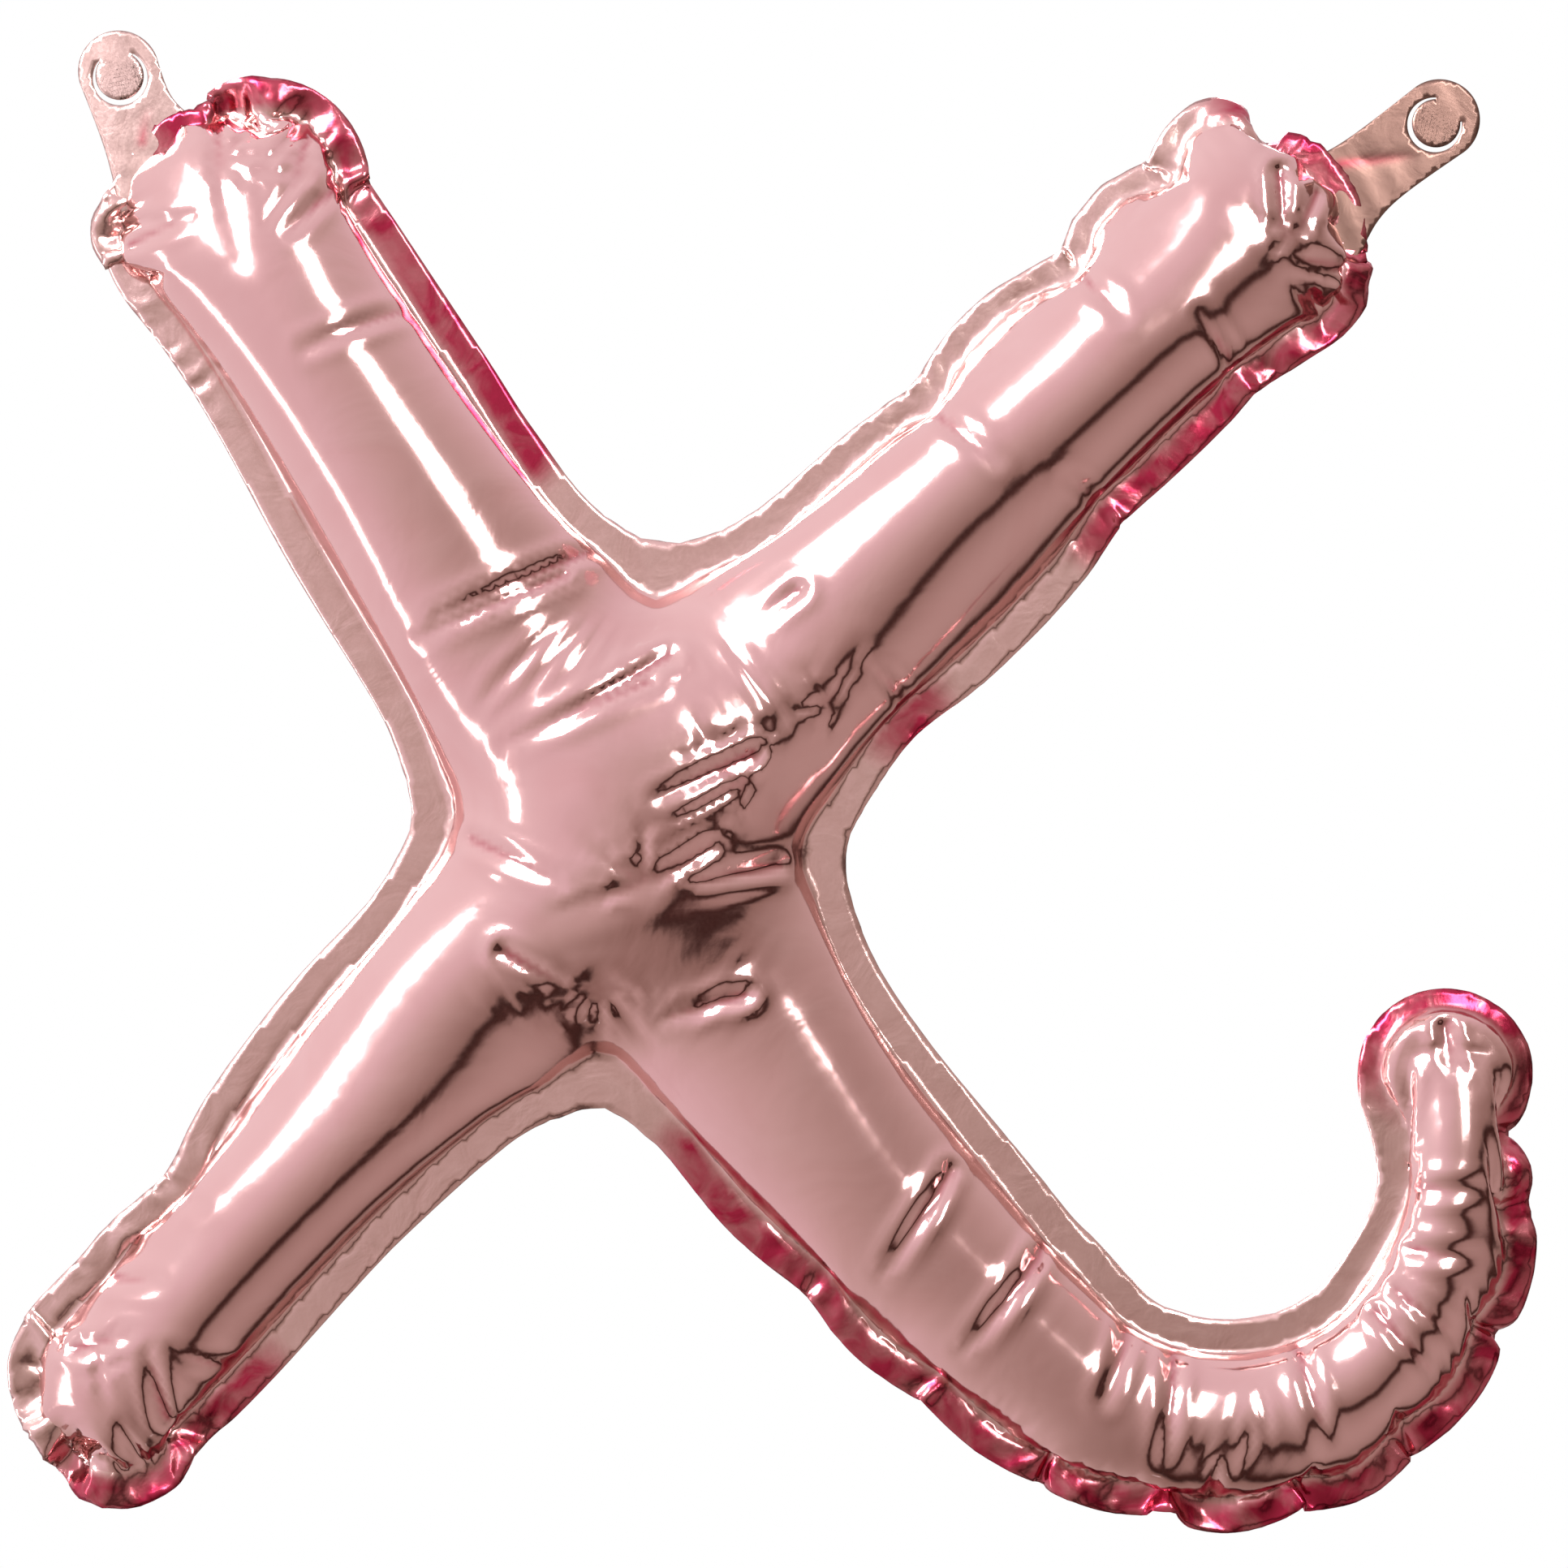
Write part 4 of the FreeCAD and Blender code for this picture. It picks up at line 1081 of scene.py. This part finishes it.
@dataclass
class CrinkleGroup:
    """The shader group with the foil's fine wrinkles and its faint change of tone."""

    name: str = "foil_crinkle"

    def build(self) -> bpy.types.NodeTree:
        """Makes the group: place and sizes in; height, tone and sheen out."""
        tree = bpy.data.node_groups.new(self.name, "ShaderNodeTree")
        for word, kind, value in (("Place", "NodeSocketVector", None), ("Ripple Scale", "NodeSocketFloat", 60.0),
                                  ("Grain Scale", "NodeSocketFloat", 900.0), ("Grain", "NodeSocketFloat", 0.1)):
            socket = tree.interface.new_socket(word, in_out="INPUT", socket_type=kind)
            if value is not None:
                socket.default_value = value
        for word in ("Height", "Tone", "Wear"):
            tree.interface.new_socket(word, in_out="OUTPUT", socket_type="NodeSocketFloat")
        source, sink = tree.nodes.new("NodeGroupInput"), tree.nodes.new("NodeGroupOutput")
        place, scale = source.outputs["Place"], source.outputs["Ripple Scale"]
        ripple = add_node(tree, "TexNoise", {"Vector": place, "Scale": scale, "Detail": 3.0, "Distortion": 1.2})
        grain = add_node(tree, "TexNoise", {
            "Vector": place, "Scale": source.outputs["Grain Scale"], "Detail": 2.0, "Distortion": 0.0,
        })
        ridge = add_node(tree, "TexVoronoi", {"Vector": place, "Scale": scale}, feature="DISTANCE_TO_EDGE")
        fine = self.math(tree, "MULTIPLY", grain.outputs["Fac"], source.outputs["Grain"])
        facet = self.math(tree, "MULTIPLY", ridge.outputs["Distance"], 0.25)
        height = self.math(tree, "ADD", self.math(tree, "ADD", ripple.outputs["Fac"], facet), fine)
        feed(tree, sink, {"Height": height, "Tone": ripple.outputs["Fac"], "Wear": grain.outputs["Fac"]})
        return tree

    @staticmethod
    def math(tree: bpy.types.NodeTree, operation: str, first: bpy.types.NodeSocket,
             second: bpy.types.NodeSocket | float) -> bpy.types.NodeSocket:
        """The output of a Math node; the second value is a socket or a number."""
        return add_node(tree, "Math", {0: first, 1: second}, operation=operation).outputs[0]

    @staticmethod
    def on(tree: bpy.types.NodeTree, crinkle: bpy.types.NodeTree, sizes: dict[str, float]) -> bpy.types.Node:
        """Puts the group into a material, on the piece's own coordinates."""
        place = add_node(tree, "TexCoord").outputs["Object"]
        return add_node(tree, "Group", {"Place": place, **sizes}, node_tree=crinkle)

    @staticmethod
    def spread(tree: bpy.types.NodeTree, value: bpy.types.NodeSocket, low: float, high: float) -> bpy.types.NodeSocket:
        """A value from 0 to 1, laid out between two bounds."""
        return add_node(tree, "MapRange", {"Value": value, "To Min": low, "To Max": high}).outputs["Result"]


@dataclass(frozen=True)
class FoilFinish:
    """A metallised foil: mirror-like, with two close tones and fine wrinkles; ripple_height in millimetres.

    The piece's point attribute mixes in the deep red below as a painted reflection, which stands for foil that mirrors
    foil.
    """

    name: str
    light: tuple[float, float, float]
    deep: tuple[float, float, float]
    roughness: float
    ripple_scale: float
    ripple_height: float
    grain: float
    # Painted reflection: the deep red of foil that mirrors foil.
    fold_reflection_paint: tuple[float, float, float] = (0.50, 0.035, 0.09)
    grain_scale: float = 1400.0

    def build(self, crinkle: bpy.types.NodeTree) -> bpy.types.Material:
        """Makes the material; colour, roughness and bump vary with the piece's own coordinates."""
        material, tree = new_material(self.name)
        group = CrinkleGroup.on(tree, crinkle, {
            "Ripple Scale": self.ripple_scale, "Grain Scale": self.grain_scale, "Grain": self.grain,
        })
        tone = add_node(tree, "Mix", {
            "A": (*self.deep, 1.0), "B": (*self.light, 1.0), "Factor": group.outputs["Tone"],
        }, data_type="RGBA")
        # Painted reflection: the attribute's share of the deep red, broken into patches by the ripple tone, is mixed
        # over the foil's colour.
        fold_reflection_paint = add_node(tree, "Attribute", attribute_name="painted_fold_reflection")
        patch = add_node(tree, "MapRange", {
            "From Min": 0.38, "From Max": 0.62, "To Min": 0.72, "To Max": 1.0, "Value": group.outputs["Tone"],
        })
        share = CrinkleGroup.math(tree, "MULTIPLY", fold_reflection_paint.outputs["Fac"], patch.outputs["Result"])
        colour = add_node(tree, "Mix", {
            "B": (*self.fold_reflection_paint, 1.0), "Factor": share, "A": tone.outputs["Result"],
        }, data_type="RGBA")
        bump = add_node(tree, "Bump", {
            "Strength": 1.0, "Distance": self.ripple_height * MM, "Height": group.outputs["Height"],
        })
        sheen = CrinkleGroup.spread(tree, group.outputs["Wear"], self.roughness * 0.8, self.roughness * 1.3)
        feed(tree, tree.nodes["Principled BSDF"], {
            "Metallic": 1.0, "Base Color": colour.outputs["Result"], "Roughness": sheen,
            "Normal": bump.outputs["Normal"],
        })
        return material


@dataclass(frozen=True)
class FilmFinish:
    """The valve's clear film: glossy, faintly milky and nearly see-through."""

    name: str = "clear_valve_film"
    colour: tuple[float, float, float] = (0.92, 0.93, 0.95)
    cover: float = 0.45
    roughness: float = 0.16
    ripple_height: float = 0.1

    def build(self, crinkle: bpy.types.NodeTree) -> bpy.types.Material:
        """Makes the material; its cover and gloss vary with the crinkle."""
        material, tree = new_material(self.name)
        group = CrinkleGroup.on(tree, crinkle, {"Ripple Scale": 120.0})
        bump = add_node(tree, "Bump", {"Distance": self.ripple_height * MM, "Height": group.outputs["Height"]})
        feed(tree, tree.nodes["Principled BSDF"], {
            "Base Color": (*self.colour, 1.0),
            "Alpha": CrinkleGroup.spread(tree, group.outputs["Tone"], self.cover - 0.1, self.cover + 0.1),
            "Roughness": CrinkleGroup.spread(
                tree, group.outputs["Wear"], self.roughness - 0.04, self.roughness + 0.06),
            "Normal": bump.outputs["Normal"],
        })
        return material


# ---------------------------------------------------------------- studio


@dataclass
class Studio:
    """Floor, background, reflecting tent, lamps and camera; sizes in metres."""

    middle: tuple[float, float, float] = (0.15706, 0.0, -0.16704)
    frame_width: float = 0.37094
    lens: float = 110.0
    floor_level: float = -0.40
    floor_reach: tuple[float, float] = (0.75, 0.28)
    tent_radius: float = 3.0

    def build(self) -> None:
        """Sets up everything round the object."""
        scene = bpy.context.scene
        scene.view_settings.view_transform = "Standard"
        self.background(scene)
        self.floor()
        self.tent()
        for place, width, height, power, colour in (
            ((-0.85, -1.05, 0.80), 0.85, 0.85, 52.0, (1.0, 0.97, 0.97)),
            ((0.75, -1.35, 0.65), 0.36, 0.95, 14.0, (1.0, 0.98, 0.97)),
            ((-1.3, -0.5, -0.5), 0.12, 0.8, 2.0, (1.0, 0.97, 0.95)),
            ((0.2, 1.3, 0.8), 1.0, 0.7, 11.0, (1.0, 0.99, 0.98)),
        ):
            self.lamp(place, width, height, power, colour)
        self.camera(scene)

    def background(self, scene: bpy.types.Scene) -> None:
        """A white world for the eye and for mirrors, and a plain level of light for everything else."""
        world = bpy.data.worlds.new("studio_air")
        scene.world = world
        world.use_nodes = True
        tree = world.node_tree
        paper = (1.0, 1.0, 1.0, 1.0)
        plain = tree.nodes["Background"]
        feed(tree, plain, {"Color": paper, "Strength": 0.6})
        white = add_node(tree, "Background", {"Color": paper, "Strength": 1.0})
        rays = add_node(tree, "LightPath").outputs
        either = CrinkleGroup.math(tree, "MAXIMUM", rays["Is Camera Ray"], rays["Is Glossy Ray"])
        either = CrinkleGroup.math(tree, "MAXIMUM", either, rays["Is Transmission Ray"])
        mix = add_node(tree, "MixShader", {"Fac": either, 1: plain.outputs[0], 2: white.outputs[0]})
        feed(tree, tree.nodes["World Output"], {"Surface": mix.outputs[0]})

    def floor(self) -> None:
        """A pale oval floor below the object, whose rim fades out, so that it ends in no hard edge."""
        count = 96
        wide, deep = self.floor_reach
        middle = (self.middle[0], 0.0, self.floor_level)
        turn = np.linspace(0.0, 2 * math.pi, count, endpoint=False)
        rim = np.column_stack([wide * np.cos(turn), deep * np.sin(turn), np.zeros(count)]) + middle
        number = np.arange(count)
        faces = np.column_stack([number, (number + 1) % count, np.full(count, count)])
        floor = make_mesh("studio_floor", np.vstack([rim, [middle]]) / MM, faces)
        material, tree = new_material("floor_paper")
        place = add_node(tree, "TexCoord").outputs["Object"]
        oval = add_node(tree, "Mapping", {
            "Vector": place, "Location": middle, "Scale": (wide, deep, 1.0),
        }, vector_type="TEXTURE")
        reach = add_node(tree, "VectorMath", {0: oval.outputs["Vector"]}, operation="LENGTH")
        fade = add_node(tree, "MapRange", {
            "Value": reach.outputs["Value"], "From Min": 0.98, "From Max": 0.45,
        }, interpolation_type="SMOOTHSTEP")
        feed(tree, tree.nodes["Principled BSDF"], {
            "Base Color": (0.86, 0.86, 0.86, 1.0), "Roughness": 0.8, "Alpha": fade.outputs["Result"],
        })
        floor.data.materials.append(material)
        floor.visible_glossy = False

    def tent(self) -> None:
        """A round tent that only mirrors see: warm dark below and in front, pale pink above and to the left."""
        count = 96
        u, v = np.meshgrid(np.linspace(0, 2 * math.pi, count, endpoint=False), np.linspace(0.02, math.pi - 0.02, 49))
        r = self.tent_radius
        places = np.stack([r * np.sin(v) * np.cos(u), r * np.sin(v) * np.sin(u), r * np.cos(v)], axis=-1).reshape(-1, 3)
        places += self.middle
        row, column = np.meshgrid(np.arange(48), np.arange(count), indexing="ij")
        a = row * count + column
        b = row * count + (column + 1) % count
        c, d = b + count, a + count
        faces = np.concatenate([np.stack([a, b, c], -1).reshape(-1, 3), np.stack([a, c, d], -1).reshape(-1, 3)])
        tent = make_mesh("studio_tent", places / MM, faces)
        material, tree = new_material("tent_cloth")
        tree.nodes.remove(tree.nodes["Principled BSDF"])
        place = add_node(tree, "TexCoord").outputs["Object"]
        centre = add_node(tree, "VectorMath", {0: place, 1: self.middle}, operation="SUBTRACT")
        aim = add_node(tree, "VectorMath", {
            0: centre.outputs[0], 1: (-0.70 / r, 0.28 / r, 0.65 / r),
        }, operation="DOT_PRODUCT")
        spread = add_node(tree, "MapRange", {"From Min": -1.0, "Value": aim.outputs["Value"]})
        ramp = add_node(tree, "ValToRGB", {"Fac": spread.outputs["Result"]})
        stops = (
            (0.0, (0.50, 0.38, 0.35)), (0.08, (0.36, 0.26, 0.23)), (0.108, (0.06, 0.025, 0.02)),
            (0.135, (0.03, 0.012, 0.01)), (0.16, (0.30, 0.21, 0.18)), (0.32, (0.50, 0.39, 0.36)),
            (0.42, (0.62, 0.50, 0.48)), (0.56, (0.78, 0.63, 0.66)), (1.0, (0.98, 0.87, 0.90)),
        )
        steps = ramp.color_ramp.elements
        steps[0].position, steps[0].color = stops[0][0], (*stops[0][1], 1.0)
        steps[1].position, steps[1].color = stops[-1][0], (*stops[-1][1], 1.0)
        for at, colour in stops[1:-1]:
            steps.new(at).color = (*colour, 1.0)
        glow = add_node(tree, "Emission", {"Color": ramp.outputs["Color"]})
        feed(tree, tree.nodes["Material Output"], {"Surface": glow.outputs[0]})
        tent.data.materials.append(material)
        tent.visible_camera = tent.visible_diffuse = tent.visible_shadow = tent.visible_transmission = False

    def lamp(self, place: tuple[float, float, float], width: float, height: float, power: float,
             colour: tuple[float, float, float]) -> None:
        """A soft rectangular lamp aimed at the middle of the object."""
        data = bpy.data.lights.new("soft_lamp", "AREA")
        data.shape = "RECTANGLE"
        data.size, data.size_y = width, height
        data.energy = power
        data.color = colour
        lamp = bpy.data.objects.new("soft_lamp", data)
        lamp.location = place
        lamp.rotation_euler = (Vector(self.middle) - Vector(place)).to_track_quat("-Z", "Y").to_euler()
        bpy.context.scene.collection.objects.link(lamp)

    def camera(self, scene: bpy.types.Scene) -> None:
        """A long lens straight in front of the letter, level with its middle."""
        data = bpy.data.cameras.new("camera")
        data.lens = self.lens
        data.sensor_width = 36.0
        camera = bpy.data.objects.new("camera", data)
        away = self.frame_width * self.lens / data.sensor_width
        camera.location = (self.middle[0], -away, self.middle[2])
        camera.rotation_euler = (math.pi / 2, 0.0, 0.0)
        scene.collection.objects.link(camera)
        scene.camera = camera


def main() -> None:
    """Builds every piece in order, dresses it and reports it."""
    crinkle = CrinkleGroup().build()
    body = FoilFinish("rose_gold_foil", (0.89, 0.62, 0.61), (0.83, 0.52, 0.51), 0.11, 38.0, 0.16, 0.02).build(crinkle)
    seal = FoilFinish("sealed_foil", (0.87, 0.64, 0.61), (0.78, 0.53, 0.50), 0.20, 90.0, 0.22, 0.06).build(crinkle)
    # The tabs are the same foil as the margin. Their colours are lowered as painted shade, the right one's most, to
    # look as dark as a tab that is turned away from the lamps; under other light they will look too dark.
    less_shaded = FoilFinish(
        "less_shaded_tab_foil", (0.70, 0.53, 0.50), (0.58, 0.41, 0.38), 0.30, 110.0, 0.12, 0.05).build(crinkle)
    shaded = FoilFinish(
        "shaded_tab_foil", (0.32, 0.20, 0.165), (0.25, 0.15, 0.125), 0.34, 110.0, 0.12, 0.05).build(crinkle)
    film = FilmFinish().build(crinkle)

    front, back = LetterFoil().build()
    for piece, nodes in ((front, ("front_panel", "sealed_margin")), (back, ("back_panel",))):
        piece.data.materials.append(body)
        piece.data.materials.append(seal)
        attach(piece, "balloon")
        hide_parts(*nodes)
        log.info("%s: %d triangles", piece.name, len(piece.data.polygons))
    tabs = (
        HangTab("left", (0.0, 0.0), 102.0, 12.5, 1.9, 24.0, flare=1.2, curl=0.8, crease=(2.0, -16.0, 5.0, -8.0)),
        HangTab("right", (311.0, -11.1), 47.0, 22.8, -4.6, -5.8, flare=1.8, curl=1.0, crease=(-10.0, -22.0, 2.0, -8.0)),
    )
    for tab, finish in zip(tabs, (less_shaded, shaded)):
        for piece in tab.build():
            piece.data.materials.append(finish)
            log.info("%s: %d triangles", piece.name, len(piece.data.polygons))
    for name in ("valve_neck", "valve_front_film", "valve_back_film"):
        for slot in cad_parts[name].material_slots:
            slot.material = film
        log.info("%s: clear film", name)
    Studio().build()


if __name__ == "__main__":
    main()
